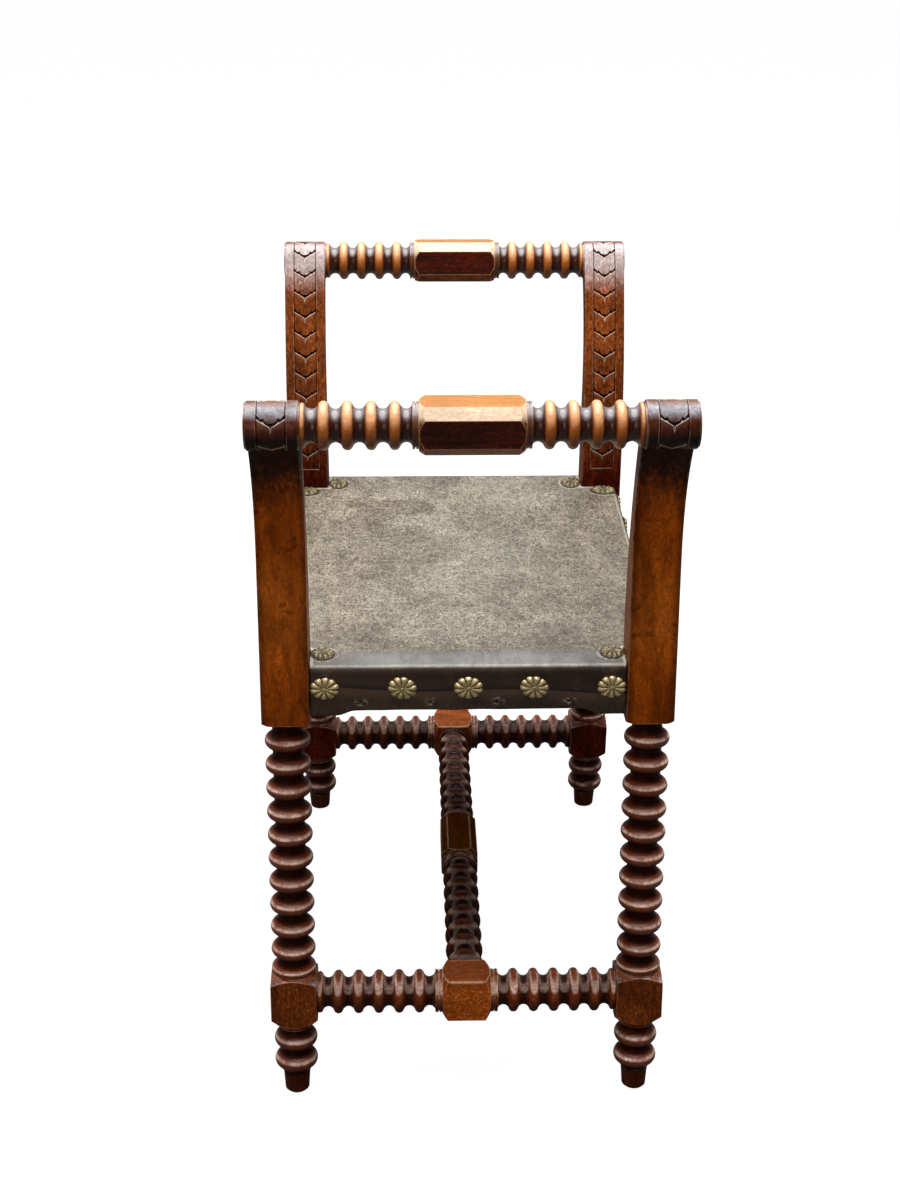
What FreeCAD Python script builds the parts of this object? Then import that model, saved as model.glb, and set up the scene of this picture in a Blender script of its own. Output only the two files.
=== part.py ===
"""Ring-turned armed stool with a nailed leather seat.

X runs across the stool, Y along it, Z up. The origin is on the floor, under the middle.
Each post is drawn in its own frame: x across, y outwards, z up the axis of its leg, with the
foot at the origin. That axis then leans, so that the feet stand further out than the arms.
"""
import FreeCAD, Part
import math
import os

V = FreeCAD.Vector

# Layout of the posts
post_spacing = 314.0
foot_reach = 260.8
rake_slope = 0.08556

# Post: its square parts, measured up the leg
post_side = 41.5
joint_drop = 26.0
joint_rise = 22.3
joint_low_slope = 1.0
joint_high_slope = 1.8
arm_below_apron = 13.4
arm_flat_radius = 24.9
arm_round = 6.0
corner_spare = 0.3

# Post: foot
foot_radius = 11.1
foot_top_radius = 12.4
foot_round = 1.5
foot_height = 20.0
foot_step = 0.9

# Post: turned rings
leg_ring_radius = 20.0
leg_neck_radius = 13.2
leg_ring_count = 10
leg_bead_share = 0.5
arm_neck = 8.8
bell_radius = 20.3
bell_fillet = 1.5
bell_groove = 4.1
bell_groove_depth = 1.2
bell_height = 8.0
bell_share = 0.5
low_ring_radius = 19.7
low_ring_count = 2
low_bead_share = 0.6
low_shoulder_radius = 16.2
low_shoulder = 1.0
low_cove = 2.8

# Post: arm and scroll
sweep_below_seat = 9.5
arm_back_rise = 127.9
arm_back_radius = 164.0
scroll_reach = 69.2
scroll_above_seat = 223.4
scroll_radius = 19.75
cheek_inset = 1.5
cheek_proud = 1.0
arm_edge = 1.2

# Post: carved channel up the inner face of the arm and over the scroll
channel_width = 23.6
channel_depth = 1.2
channel_above_seat = 21.5
channel_end_turn = 80.0

# Top rails, turned a little outwards about their length
rail_turn_slope = 0.0875
rail_side = 41.0
rail_chamfer = 8.4
rail_block = 42.0
rail_clip = 4.8
rail_ring_radius = 19.5
rail_neck_radius = 13.2
rail_ring_count = 4
rail_bead_share = 0.45
rail_collar = 5.0
rail_collar_radius = 18.8
rail_collar_cove = 4.5
rail_end_radius = 16.8
rail_end_band = 3.8
rail_end_cove = 5.6

# Lower cross stretchers
cross_side = 40.5
cross_chamfer = 0.8
cross_block = 21.8
cross_clip = 4.6
cross_height = 99.6
cross_ring_radius = 19.7
cross_neck_radius = 13.1
cross_ring_count = 5
cross_bead_share = 0.45
cross_collar = 6.6
cross_collar_radius = 19.3
cross_collar_cove = 5.3
cross_end_radius = 17.2
cross_end_band = 5.0
cross_end_cove = 5.0

# Long stretcher
long_side = 36.8
long_chamfer = 6.7
long_block = 38.0
long_clip = 4.0
long_ring_radius = 17.5
long_neck_radius = 12.4
long_ring_count = 7
long_bead_share = 0.56
long_collar = 8.5
long_collar_radius = 17.3
long_collar_cove = 5.8
long_end_radius = 15.4
long_end_band = 2.9
long_end_cove = 3.6

# Collars beside a block: two flat fillets with a groove between
collar_groove = 0.9
collar_groove_depth = 1.3
collar_step = 2.0
end_bulge_share = 0.3

# Turned tenons
tenon_radius = 8.0
tenon_length = 17.0
tenon_chamfer = 1.0
mortise_clearance = 0.15
mortise_spare = 1.0

# Leather seat
seat_height = 424.5
seat_sag = 6.5
leather_thickness = 2.2
leather_fold = 6.5
leather_clearance = 0.3
apron_drop = 39.5
end_apron_inset = 3.2
side_apron_inset = 4.2

# Seat rails
seat_rail_thickness = 26.0
seat_rail_drop = 37.0
seat_rail_edge = 3.5
seat_tenon_thickness = 9.0
seat_tenon_height = 20.0
seat_tenon_rise = 5.0
seat_tenon_length = 17.0
seat_tenon_wall = 2.6

# Webbing straps
strap_width = 50.0
strap_thickness = 1.4
strap_lap = 17.0
strap_slope = 26.0
strap_clearance = 0.3
long_strap_count = 3
cross_strap_count = 5

# Webbing tacks
strap_tack_count = 3
strap_tack_margin = 8.0
strap_tack_head_radius = 2.6
strap_tack_head = 0.7
strap_tack_shank_radius = 0.8
strap_tack_length = 12.0

# Rosette nails, with oval heads
rosette_radius = 13.0
rosette_narrow_share = 0.8
rosette_height = 4.0
rosette_rim = 0.9
rosette_shank_radius = 1.3
rosette_length = 13.0
rosette_drop = 19.1
rosette_post_gap = 0.3
end_corner_inset = 27.0
side_corner_inset = 15.0
end_rosette_shares = (-1, -0.46, 0, 0.46, 1)
side_rosette_count = 7

# Hem tacks
hem_tack_head_radius = 2.0
hem_tack_head = 0.8
hem_tack_shank_radius = 0.7
hem_tack_length = 9.0
hem_tack_rise = 7.0

# Clearances of the nails, and how far a cut runs past a face
nail_clearance = 0.15
head_gap = 0.15
overrun = 4.0

# Worked out from the sizes above
rake = math.atan(rake_slope)
joint_bottom = cross_height - joint_drop
joint_top = cross_height + joint_rise
apron_bottom = seat_height - apron_drop
seat_rail_bottom = seat_height - seat_rail_drop
arm_bottom = apron_bottom - arm_below_apron
arm_sweep_start = seat_height - sweep_below_seat
channel_start = seat_height + channel_above_seat
scroll_height = seat_height + scroll_above_seat
arm_back_start = scroll_height - arm_back_rise
post_x = post_spacing / 2
post_half = post_side / 2
rail_inner_face = post_x - post_half
apron_offset = post_half - end_apron_inset
side_apron_x = post_x + post_half - side_apron_inset
end_rail_outer = apron_offset - leather_thickness - leather_clearance
end_rail_inner = end_rail_outer - seat_rail_thickness
side_rail_outer = side_apron_x - leather_thickness - leather_clearance
side_rail_inner = side_rail_outer - seat_rail_thickness
strap_stack = strap_thickness + strap_tack_head + 2 * head_gap + strap_clearance
strap_level = seat_height - seat_sag - leather_thickness - leather_clearance
side_rail_top = strap_level - strap_stack
rosette_z = seat_height - rosette_drop
hem_tack_z = apron_bottom + hem_tack_rise
rosette_end_x = rail_inner_face - rosette_radius - rosette_post_gap


def reach(offset, height):
    """How far along the stool a face at this offset from a leg's axis lies at a height."""
    return foot_reach - height * math.tan(rake) + offset / math.cos(rake)


def sag_radius():
    """Radius of the seat's surface, which sags from one end rail to the other."""
    deep = reach(apron_offset, seat_height)
    return (deep ** 2 + seat_sag ** 2) / (2 * seat_sag)


def leather_top(y):
    """Height of the seat's surface at a place along the stool."""
    return seat_height - seat_sag + sag_radius() - math.sqrt(sag_radius() ** 2 - y ** 2)


def end_rail_top():
    """The end rails stay clear of the leather at their inner edges, where it is lowest."""
    lowest = leather_top(reach(end_rail_inner, seat_height))
    return lowest - leather_thickness - leather_clearance - strap_stack


def lean(shape, x=0):
    """Moves a shape from a post's own frame into the stool, at a place across it."""
    shape.rotate(V(0, 0, 0), V(1, 0, 0), math.degrees(rake))
    shape.translate(V(x, foot_reach, 0))
    return shape


def mirrored_x(shape):
    return shape.mirror(V(0, 0, 0), V(1, 0, 0))


def mirrored_y(shape):
    return shape.mirror(V(0, 0, 0), V(0, 1, 0))


def quadrants(shape):
    """A shape and its mirror images in the other three quarters of the stool."""
    pair = [shape, mirrored_x(shape)]
    return pair + [mirrored_y(one) for one in pair]


def joined(shapes):
    return shapes[0].multiFuse(shapes[1:]).removeSplitter() if len(shapes) > 1 else shapes[0]


def loose(shapes):
    return Part.makeCompound(shapes)


def box(x_from, x_to, y_from, y_to, z_from, z_to):
    return Part.makeBox(x_to - x_from, y_to - y_from, z_to - z_from, V(x_from, y_from, z_from))


def across(outline, x_from, x_to):
    """A solid with an outline of (y, z) points, between two places across the stool."""
    points = [V(x_from, y, z) for y, z in outline]
    face = Part.Face(Part.makePolygon(points + points[:1]))
    return face.extrude(V(x_to - x_from, 0, 0))


def along(outline, y_from, y_to):
    """A solid with an outline of (x, z) points, between two places along the stool."""
    points = [V(x, y_from, z) for x, z in outline]
    face = Part.Face(Part.makePolygon(points + points[:1]))
    return face.extrude(V(0, y_to - y_from, 0))


def leaning_outline(offset_from, offset_to, z_from, z_to):
    """Four (y, z) corners between two faces that lean with the posts."""
    return [
        (reach(offset_from, z_from), z_from),
        (reach(offset_to, z_from), z_from),
        (reach(offset_to, z_to), z_to),
        (reach(offset_from, z_to), z_to),
    ]


def on_circle(centre, radius, degrees):
    angle = math.radians(degrees)
    return centre[0] + radius * math.cos(angle), centre[1] + radius * math.sin(angle)


# Turning

def lathe(path):
    """A solid turned about Z. A step is a (radius, height) point, or four numbers for an arc
    that goes through the first pair to the second."""
    here = V(path[0][0], 0, path[0][1])
    foot = V(0, 0, here.z)
    edges = [Part.makeLine(foot, here)]
    for step in path[1:]:
        there = V(step[-2], 0, step[-1])
        if len(step) == 4:
            edges.append(Part.Arc(here, V(step[0], 0, step[1]), there).toShape())
        else:
            edges.append(Part.makeLine(here, there))
        here = there
    head = V(0, 0, here.z)
    if here.x > 0:
        edges.append(Part.makeLine(here, head))
    edges.append(Part.makeLine(head, foot))
    return Part.Face(Part.Wire(edges)).revolve(V(0, 0, 0), V(0, 0, 1), 360)


def halfway(square_end, other):
    """The middle of an arc that is parallel to the axis at one end."""
    out = other[0] - square_end[0]
    rise = other[1] - square_end[1]
    radius = (out ** 2 + rise ** 2) / (2 * out)
    centre = V(square_end[0] + radius, square_end[1], 0)
    middle = (V(-radius, 0, 0) + V(out - radius, rise, 0)).normalize() * abs(radius)
    return centre.x + middle.x, centre.y + middle.y


def flared(start, end):
    """An arc step that leaves start along the axis."""
    return halfway(start, end) + end


def settled(start, end):
    """An arc step that reaches end along the axis."""
    return halfway(end, start) + end


def domed(radius, low, high):
    """An arc step from an edge of this radius up to the axis, level at the top."""
    rise = high - low
    ball = (radius ** 2 + rise ** 2) / (2 * rise)
    half_turn = math.asin(radius / ball) / 2
    return ball * math.sin(half_turn), high - ball * (1 - math.cos(half_turn)), 0, high


def rings(neck, crest, start, end, count, bead_share):
    """Steps up a run of rings, from the neck before the first to the neck after the last."""
    half = (end - start) / count / 2
    swell = (crest - neck) * (1 - bead_share)
    rise = half * (1 - bead_share)
    steps = []
    for index in range(count):
        base = start + 2 * half * index
        before = (neck + swell, base + rise)
        after = (neck + swell, base + 2 * half - rise)
        steps.append(flared((neck, base), before) if index == 0 else (neck, base) + before)
        steps.append((crest, base + half) + after)
    steps.append(settled(after, (neck, end)))
    return steps


def turned_rail(length, side, chamfer, block, clip, collar, collar_radius, collar_cove,
                ring_radius, neck_radius, ring_count, bead_share, end_cove, end_radius, end_band):
    """A rail along Z, turned from a square blank, with a block in the middle. Length is from
    the middle to a shoulder."""
    half = side / 2
    corner = math.hypot(half, half - chamfer)
    cone_run = clip * (corner + overrun - half) / (corner - half)
    fillet = (collar - collar_groove) / 2
    band = length - end_band
    path = [
        (corner + overrun, 0),
        (corner + overrun, block - cone_run),
        (half, block),
        (collar_radius, block),
        (collar_radius, block + fillet),
        (collar_radius - collar_groove_depth, block + fillet),
        (collar_radius - collar_groove_depth, block + collar - fillet),
        (collar_radius, block + collar - fillet),
        (collar_radius, block + collar),
        (collar_radius - collar_step, block + collar),
    ]
    start = block + collar + collar_cove
    path.append(settled(path[-1], (neck_radius, start)))
    path += rings(neck_radius, ring_radius, start, band - end_cove, ring_count, bead_share)
    path.append(flared((neck_radius, band - end_cove), (end_radius, band)))
    path.append((end_radius + end_band * end_bulge_share, band + end_band / 2, end_radius, length))
    turned = lathe(path)
    reach_end = half - chamfer
    corners = [
        (half, -reach_end), (half, reach_end), (reach_end, half), (-reach_end, half),
        (-half, reach_end), (-half, -reach_end), (-reach_end, -half), (reach_end, -half),
    ]
    points = [V(x, y, 0) for x, y in corners]
    blank = Part.Face(Part.makePolygon(points + points[:1])).extrude(V(0, 0, length + overrun))
    upper = turned.common(blank)
    return joined([upper, upper.mirror(V(0, 0, 0), V(0, 0, 1))])


def tenons(shoulder):
    """The two turned tenons of a rail along Z, rooted inside it."""
    tip = shoulder + tenon_length
    root = shoulder - tenon_length
    upper = lathe([
        (tenon_radius, root),
        (tenon_radius, tip - tenon_chamfer),
        (tenon_radius - tenon_chamfer, tip),
    ])
    return [upper, upper.mirror(V(0, 0, 0), V(0, 0, 1))]


def mortise(start, direction):
    """The hole for a turned tenon that enters a face at start."""
    radius = tenon_radius + mortise_clearance
    depth = tenon_length + mortise_spare
    return Part.makeCylinder(radius, depth + overrun, start - direction * overrun, direction)


# Posts

def sweep_radius():
    """Radius of the arm's inner face, which runs into the scroll without a corner."""
    out = post_half + scroll_reach
    rise = scroll_height - arm_sweep_start
    return (out ** 2 + rise ** 2 - scroll_radius ** 2) / (2 * (out - scroll_radius))


def arm_outline():
    """The side of the plank that leg, arm and scroll are cut from, as a face."""
    sweep = sweep_radius()
    sweep_centre = (sweep - post_half, arm_sweep_start)
    scroll = (scroll_reach, scroll_height)
    back_centre = (post_half + arm_back_radius, arm_back_start)
    meet = math.degrees(math.atan2(scroll[1] - sweep_centre[1], scroll[0] - sweep_centre[0]))
    gap = math.hypot(scroll[0] - back_centre[0], scroll[1] - back_centre[1])
    toward = math.degrees(math.atan2(back_centre[1] - scroll[1], back_centre[0] - scroll[0]))
    cosine = (gap ** 2 + scroll_radius ** 2 - arm_back_radius ** 2) / (2 * gap * scroll_radius)
    notch_turn = toward - math.degrees(math.acos(cosine))
    notch = on_circle(scroll, scroll_radius, notch_turn)
    rise = math.degrees(math.atan2(notch[1] - back_centre[1], notch[0] - back_centre[0]))
    crown = on_circle(sweep_centre, sweep, meet)
    inner_bottom = (-post_half, -overrun)
    inner_top = (-post_half, arm_sweep_start)
    outer_top = (post_half, arm_back_start)
    outer_bottom = (post_half, -overrun)
    steps = [
        (inner_bottom, inner_top),
        (inner_top, on_circle(sweep_centre, sweep, (180 + meet) / 2), crown),
        (crown, on_circle(scroll, scroll_radius, (meet + notch_turn) / 2), notch),
        (notch, on_circle(back_centre, arm_back_radius, (180 + rise) / 2), outer_top),
        (outer_top, outer_bottom),
        (outer_bottom, inner_bottom),
    ]
    edges = []
    for step in steps:
        points = [V(-post_half, y, z) for y, z in step]
        edges.append(Part.Arc(*points).toShape() if len(points) == 3 else Part.makeLine(*points))
    return Part.Face(Part.Wire(edges))


def channel():
    """What is cut away for the carved channel."""
    sweep = sweep_radius()
    sweep_centre = (sweep - post_half, arm_sweep_start)
    scroll = (scroll_reach, scroll_height)
    meet = math.degrees(math.atan2(scroll[1] - sweep_centre[1], scroll[0] - sweep_centre[0]))
    start = math.degrees(math.pi - math.asin((channel_start - arm_sweep_start) / sweep))
    end = -channel_end_turn

    def arc(centre, radius, turn_from, turn_to):
        turns = (turn_from, (turn_from + turn_to) / 2, turn_to)
        points = [on_circle(centre, radius, turn) for turn in turns]
        return Part.Arc(*[V(-channel_width / 2, y, z) for y, z in points]).toShape()

    outer = [
        arc(sweep_centre, sweep + overrun, start, meet),
        arc(scroll, scroll_radius + overrun, meet, end),
    ]
    inner = [
        arc(scroll, scroll_radius - channel_depth, end, meet),
        arc(sweep_centre, sweep - channel_depth, meet, start),
    ]
    ends = [
        Part.makeLine(outer[1].Vertexes[1].Point, inner[0].Vertexes[0].Point),
        Part.makeLine(inner[1].Vertexes[1].Point, outer[0].Vertexes[0].Point),
    ]
    wire = Part.Wire([outer[0], outer[1], ends[0], inner[0], inner[1], ends[1]])
    return Part.Face(wire).extrude(V(channel_width, 0, 0))


def leg_turning():
    """The lathe's work on the leg. Above it the tool stands clear of the plank."""
    corner = math.hypot(post_half, post_half) + corner_spare
    clear = corner + overrun
    wide = scroll_reach + 2 * scroll_radius
    joint_low = joint_bottom - (post_half - low_shoulder_radius) / joint_low_slope
    low_end = joint_low - low_shoulder - low_cove
    low_start = foot_height + foot_step
    bell_base = joint_top + bell_fillet + bell_groove
    rings_start = bell_base + bell_height
    rings_end = arm_bottom - arm_neck
    swell = (leg_neck_radius + (bell_radius - leg_neck_radius) * (1 - bell_share),
             rings_start - bell_height * (1 - bell_share))
    path = [
        (foot_radius - foot_round, -overrun),
        (foot_radius - foot_round, 0),
        settled((foot_radius - foot_round, 0), (foot_radius, foot_round)),
        (foot_top_radius, foot_height),
        (leg_neck_radius, low_start),
    ]
    path += rings(leg_neck_radius, low_ring_radius, low_start, low_end, low_ring_count,
                  low_bead_share)
    path += [
        flared((leg_neck_radius, low_end), (low_shoulder_radius, joint_low - low_shoulder)),
        (low_shoulder_radius, joint_low),
        (clear, joint_bottom + (clear - post_half) / joint_low_slope),
        (clear, joint_top - (clear - post_half) / joint_high_slope),
        (bell_radius, joint_top + (post_half - bell_radius) / joint_high_slope),
        (bell_radius, joint_top + bell_fillet),
        (bell_radius - bell_groove_depth, joint_top + bell_fillet),
        (bell_radius - bell_groove_depth, bell_base),
        (bell_radius, bell_base),
        flared((bell_radius, bell_base), swell),
        settled(swell, (leg_neck_radius, rings_start)),
    ]
    path += rings(leg_neck_radius, leg_ring_radius, rings_start, rings_end, leg_ring_count,
                  leg_bead_share)
    path += [
        (leg_neck_radius, arm_bottom),
        (arm_flat_radius, arm_bottom),
        settled((arm_flat_radius, arm_bottom), (corner, arm_bottom + arm_round)),
        (clear, arm_bottom + arm_round),
        (wide, arm_sweep_start),
        (wide, scroll_height + 2 * scroll_radius),
    ]
    return lathe(path)


def arm_edges(solid):
    """The long edges of the arm and scroll, on the plank's two flat sides."""
    chosen = []
    for edge in solid.Edges:
        bounds = edge.BoundBox
        flat = bounds.XLength < arm_edge and abs(bounds.Center.x) > post_half - arm_edge
        if flat and bounds.ZMax > arm_bottom + post_side:
            chosen.append(edge)
    return chosen


def post_blank():
    solid = arm_outline().extrude(V(post_side, 0, 0)).common(leg_turning())
    solid = solid.makeFillet(arm_edge, arm_edges(solid))
    cheek = Part.makeCylinder(scroll_radius - cheek_inset, post_side + 2 * cheek_proud,
                              V(-post_half - cheek_proud, scroll_reach, scroll_height), V(1, 0, 0))
    return solid.fuse(cheek).cut(channel())


def scroll_centre():
    y = foot_reach + scroll_reach * math.cos(rake) - scroll_height * math.sin(rake)
    z = scroll_height * math.cos(rake) + scroll_reach * math.sin(rake)
    return y, z


def posts():
    solid = lean(post_blank(), post_x)
    y, z = scroll_centre()
    cuts = [
        mortise(V(rail_inner_face - cheek_proud, y, z), V(1, 0, 0)),
        mortise(V(rail_inner_face, reach(0, cross_height), cross_height), V(1, 0, 0)),
        end_tenon(mortise_clearance, mortise_spare),
        side_tenon(mortise_clearance, mortise_spare),
        box(0, 2 * post_x, 0, 2 * foot_reach, -2 * overrun, 0),
    ]
    solid = solid.cut(loose(cuts))
    places = ("far_right", "far_left", "near_right", "near_left")
    return {"post_" + place: one for place, one in zip(places, quadrants(solid))}


# Rails and stretchers

def top_rails():
    shoulder = rail_inner_face - cheek_proud
    rail = turned_rail(shoulder, rail_side, rail_chamfer, rail_block, rail_clip, rail_collar,
                       rail_collar_radius, rail_collar_cove, rail_ring_radius, rail_neck_radius,
                       rail_ring_count, rail_bead_share, rail_end_cove, rail_end_radius,
                       rail_end_band)
    rail = joined([rail] + tenons(shoulder))
    rail.rotate(V(0, 0, 0), V(0, 1, 0), 90)
    rail.rotate(V(0, 0, 0), V(1, 0, 0), -math.degrees(math.atan(rail_turn_slope)))
    y, z = scroll_centre()
    rail.translate(V(0, y, z))
    return {"top_rail_far": rail, "top_rail_near": mirrored_y(rail)}


def cross_stretchers():
    rail = turned_rail(rail_inner_face, cross_side, cross_chamfer, cross_block, cross_clip,
                       cross_collar, cross_collar_radius, cross_collar_cove, cross_ring_radius,
                       cross_neck_radius, cross_ring_count, cross_bead_share, cross_end_cove,
                       cross_end_radius, cross_end_band)
    rail = joined([rail] + tenons(rail_inner_face))
    rail.rotate(V(0, 0, 0), V(0, 1, 0), 90)
    rail.rotate(V(0, 0, 0), V(1, 0, 0), math.degrees(rake))
    rail.translate(V(0, reach(0, cross_height), cross_height))
    rail = rail.cut(mortise(V(0, reach(-cross_side / 2, cross_height), cross_height), V(0, 1, 0)))
    return {"cross_stretcher_far": rail, "cross_stretcher_near": mirrored_y(rail)}


def long_stretcher():
    """Its ends are cut to lie on the leaning faces of the cross stretchers' blocks."""
    longest = reach(-cross_side / 2, cross_height - long_end_radius)
    rail = turned_rail(longest, long_side, long_chamfer, long_block, long_clip, long_collar,
                       long_collar_radius, long_collar_cove, long_ring_radius, long_neck_radius,
                       long_ring_count, long_bead_share, long_end_cove, long_end_radius,
                       long_end_band)
    rail.rotate(V(0, 0, 0), V(1, 0, 0), 90)
    rail.translate(V(0, 0, cross_height))
    low = cross_height - long_side
    high = cross_height + long_side
    beyond = across(leaning_outline(-cross_side / 2, cross_side, low, high), -long_side, long_side)
    rail = rail.cut(beyond).cut(mirrored_y(beyond))
    for pin in tenons(reach(-cross_side / 2, cross_height)):
        pin.rotate(V(0, 0, 0), V(1, 0, 0), 90)
        pin.translate(V(0, 0, cross_height))
        rail = rail.fuse(pin)
    return {"long_stretcher": rail.removeSplitter()}


# Seat rails

def end_tenon(grow=0, deeper=0):
    """The tenon of the far end rail in the right post, or its mortise when it is grown."""
    outer = end_rail_outer - seat_tenon_wall
    low = seat_rail_bottom + seat_tenon_rise
    outline = leaning_outline(outer - seat_tenon_thickness - grow, outer + grow,
                              low - grow, low + seat_tenon_height + grow)
    start = rail_inner_face - (overrun if grow else 0)
    return across(outline, start, rail_inner_face + seat_tenon_length + deeper)


def side_tenon(grow=0, deeper=0):
    """The tenon of the right side rail in the far post, or its mortise when it is grown."""
    outer = side_rail_outer - seat_tenon_wall
    low = seat_rail_bottom + seat_tenon_rise - grow
    high = seat_rail_bottom + seat_tenon_rise + seat_tenon_height + grow
    start = -post_half - (overrun if grow else 0)
    outline = leaning_outline(start, -post_half + seat_tenon_length + deeper, low, high)
    return across(outline, outer - seat_tenon_thickness - grow, outer + grow)


def top_outer_edges(solid, axis, place):
    """The upper edges of a rail that run along one axis, at its outer face."""
    chosen = []
    for edge in solid.Edges:
        bounds = edge.BoundBox
        centre = bounds.Center
        long = (bounds.XLength, bounds.YLength)[axis] > seat_rail_thickness
        outer = abs((centre.y, centre.x)[axis] - place[0]) < seat_rail_edge
        if long and outer and abs(centre.z - place[1]) < seat_rail_edge:
            chosen.append(edge)
    return chosen


def end_rails():
    outline = leaning_outline(end_rail_inner, end_rail_outer, seat_rail_bottom, end_rail_top())
    body = across(outline, -rail_inner_face, rail_inner_face)
    edges = top_outer_edges(body, 0, (reach(end_rail_outer, end_rail_top()), end_rail_top()))
    body = body.makeFillet(seat_rail_edge, edges)
    return joined([body, end_tenon(), mirrored_x(end_tenon())])


def side_rails():
    low = reach(-post_half, seat_rail_bottom)
    high = reach(-post_half, side_rail_top)
    bottom, top = seat_rail_bottom, side_rail_top
    outline = [(-low, bottom), (low, bottom), (high, top), (-high, top)]
    body = across(outline, side_rail_inner, side_rail_outer)
    edges = top_outer_edges(body, 1, (side_rail_outer, side_rail_top))
    body = body.makeFillet(seat_rail_edge, edges)
    return joined([body, side_tenon(), mirrored_y(side_tenon())])


def seat_rails():
    end = end_rails().cut(loose(end_rail_holes()))
    side = side_rails().cut(loose(side_rail_holes()))
    return {
        "seat_rail_far": end,
        "seat_rail_near": mirrored_y(end),
        "seat_rail_right": side,
        "seat_rail_left": mirrored_x(side),
    }


# Nails and tacks

def end_face_places(offset, places, height):
    """Points on the far apron, and the direction into the rail, at places across the stool."""
    y = reach(offset, height)
    inward = V(0, -math.cos(rake), -math.sin(rake))
    return [(V(x, y, height), inward) for x in places]


def side_face_places(places, height):
    return [(V(side_apron_x, y, height), V(-1, 0, 0)) for y in places]


def end_rosette_spots():
    return [share * rosette_end_x for share in end_rosette_shares]


def end_rosette_places():
    return end_face_places(apron_offset, end_rosette_spots(), rosette_z)


def side_rosette_spots():
    last = reach(-post_half, rosette_z) - rosette_radius - rosette_post_gap
    step = 2 * last / (side_rosette_count - 1)
    return [index * step - last for index in range(side_rosette_count)]


def side_rosette_places():
    return side_face_places(side_rosette_spots(), rosette_z)


def between(spots):
    return [(first + second) / 2 for first, second in zip(spots, spots[1:])]


def end_hem_places():
    return end_face_places(apron_offset, between(end_rosette_spots()), hem_tack_z)


def side_hem_places():
    return side_face_places(between(side_rosette_spots()), hem_tack_z)


def corner_places():
    """The two nails on the seat top beside the far right post, narrow side to the post."""
    beside = rosette_radius * rosette_narrow_share + rosette_post_gap
    end_y = reach(apron_offset, seat_height) - end_corner_inset
    side_y = reach(-post_half, seat_height) - beside
    spots = [(rail_inner_face - beside, end_y), (side_apron_x - side_corner_inset, side_y)]
    return [(V(x, y, leather_top(y)), leather_inward(y)) for x, y in spots]


def strap_spots(count, span):
    """Centres of straps spread evenly over a span, with equal gaps between and at the ends."""
    gap = (2 * span - count * strap_width) / (count + 1)
    return [(gap + strap_width) * (index + 1) - strap_width / 2 - span for index in range(count)]


def long_strap_spots():
    return strap_spots(long_strap_count, rail_inner_face)


def cross_strap_spots():
    return strap_spots(cross_strap_count, reach(-post_half, side_rail_top))


def strap_tack_offsets():
    last = strap_width / 2 - strap_tack_margin
    return [2 * last * index / (strap_tack_count - 1) - last for index in range(strap_tack_count)]


def end_strap_places():
    y = reach(end_rail_inner, end_rail_top()) + strap_lap / 2
    z = end_rail_top() + strap_thickness
    return [(V(x + offset, y, z), V(0, 0, -1))
            for x in long_strap_spots() for offset in strap_tack_offsets()]


def side_strap_places():
    x = side_rail_inner + strap_lap / 2
    z = side_rail_top + strap_thickness
    return [(V(x, y + offset, z), V(0, 0, -1))
            for y in cross_strap_spots() for offset in strap_tack_offsets()]


def shanks(places, radius, length):
    """The holes that nails of one kind stand in."""
    deep = overrun + length + nail_clearance
    return [Part.makeCylinder(radius + nail_clearance, deep, at - inward * overrun, inward)
            for at, inward in places]


def rosette_holes(places):
    return shanks(places, rosette_shank_radius, rosette_length)


def hem_tack_holes(places):
    return shanks(places, hem_tack_shank_radius, hem_tack_length)


def strap_tack_holes(places):
    return shanks(places, strap_tack_shank_radius, strap_tack_length)


def end_apron_holes():
    return rosette_holes(end_rosette_places()) + hem_tack_holes(end_hem_places())


def side_apron_holes():
    return rosette_holes(side_rosette_places()) + hem_tack_holes(side_hem_places())


def end_rail_holes():
    corner = rosette_holes(corner_places()[:1])[0]
    return end_apron_holes() + strap_tack_holes(end_strap_places()) + [corner, mirrored_x(corner)]


def side_rail_holes():
    corner = rosette_holes(corner_places()[1:])[0]
    return side_apron_holes() + strap_tack_holes(side_strap_places()) + [corner, mirrored_y(corner)]


def set_on(shape, at, inward, long_way):
    """Turns a nail drawn head up at the origin so that it points inward at a place."""
    shape.Placement = FreeCAD.Placement(at, FreeCAD.Rotation(long_way, V(0, 0, 0), inward * -1, "ZXY"))
    return shape


def rosette(at, inward, long_way):
    """A rosette nail: a low oval dome on a thin rim, with its shank."""
    dome = lathe([
        (rosette_radius, 0),
        (rosette_radius, rosette_rim),
        domed(rosette_radius, rosette_rim, rosette_height),
    ])
    narrow = FreeCAD.Matrix()
    narrow.A22 = rosette_narrow_share
    head = dome.transformGeometry(narrow)
    head.translate(V(0, 0, head_gap))
    pin = Part.makeCylinder(rosette_shank_radius, rosette_length + head_gap + rosette_rim / 2,
                            V(0, 0, -rosette_length))
    return set_on(head.fuse(pin), at, inward, long_way)


def tack(at, inward, head_radius, head, radius, length):
    """A plain tack: a flat round head and its shank."""
    turned = lathe([
        (radius, -length),
        (radius, head_gap),
        (head_radius, head_gap),
        (head_radius, head_gap + head / 2),
        (head_radius / 2, head_gap + head),
    ])
    return set_on(turned, at, inward, V(1, 0, 0))


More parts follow.
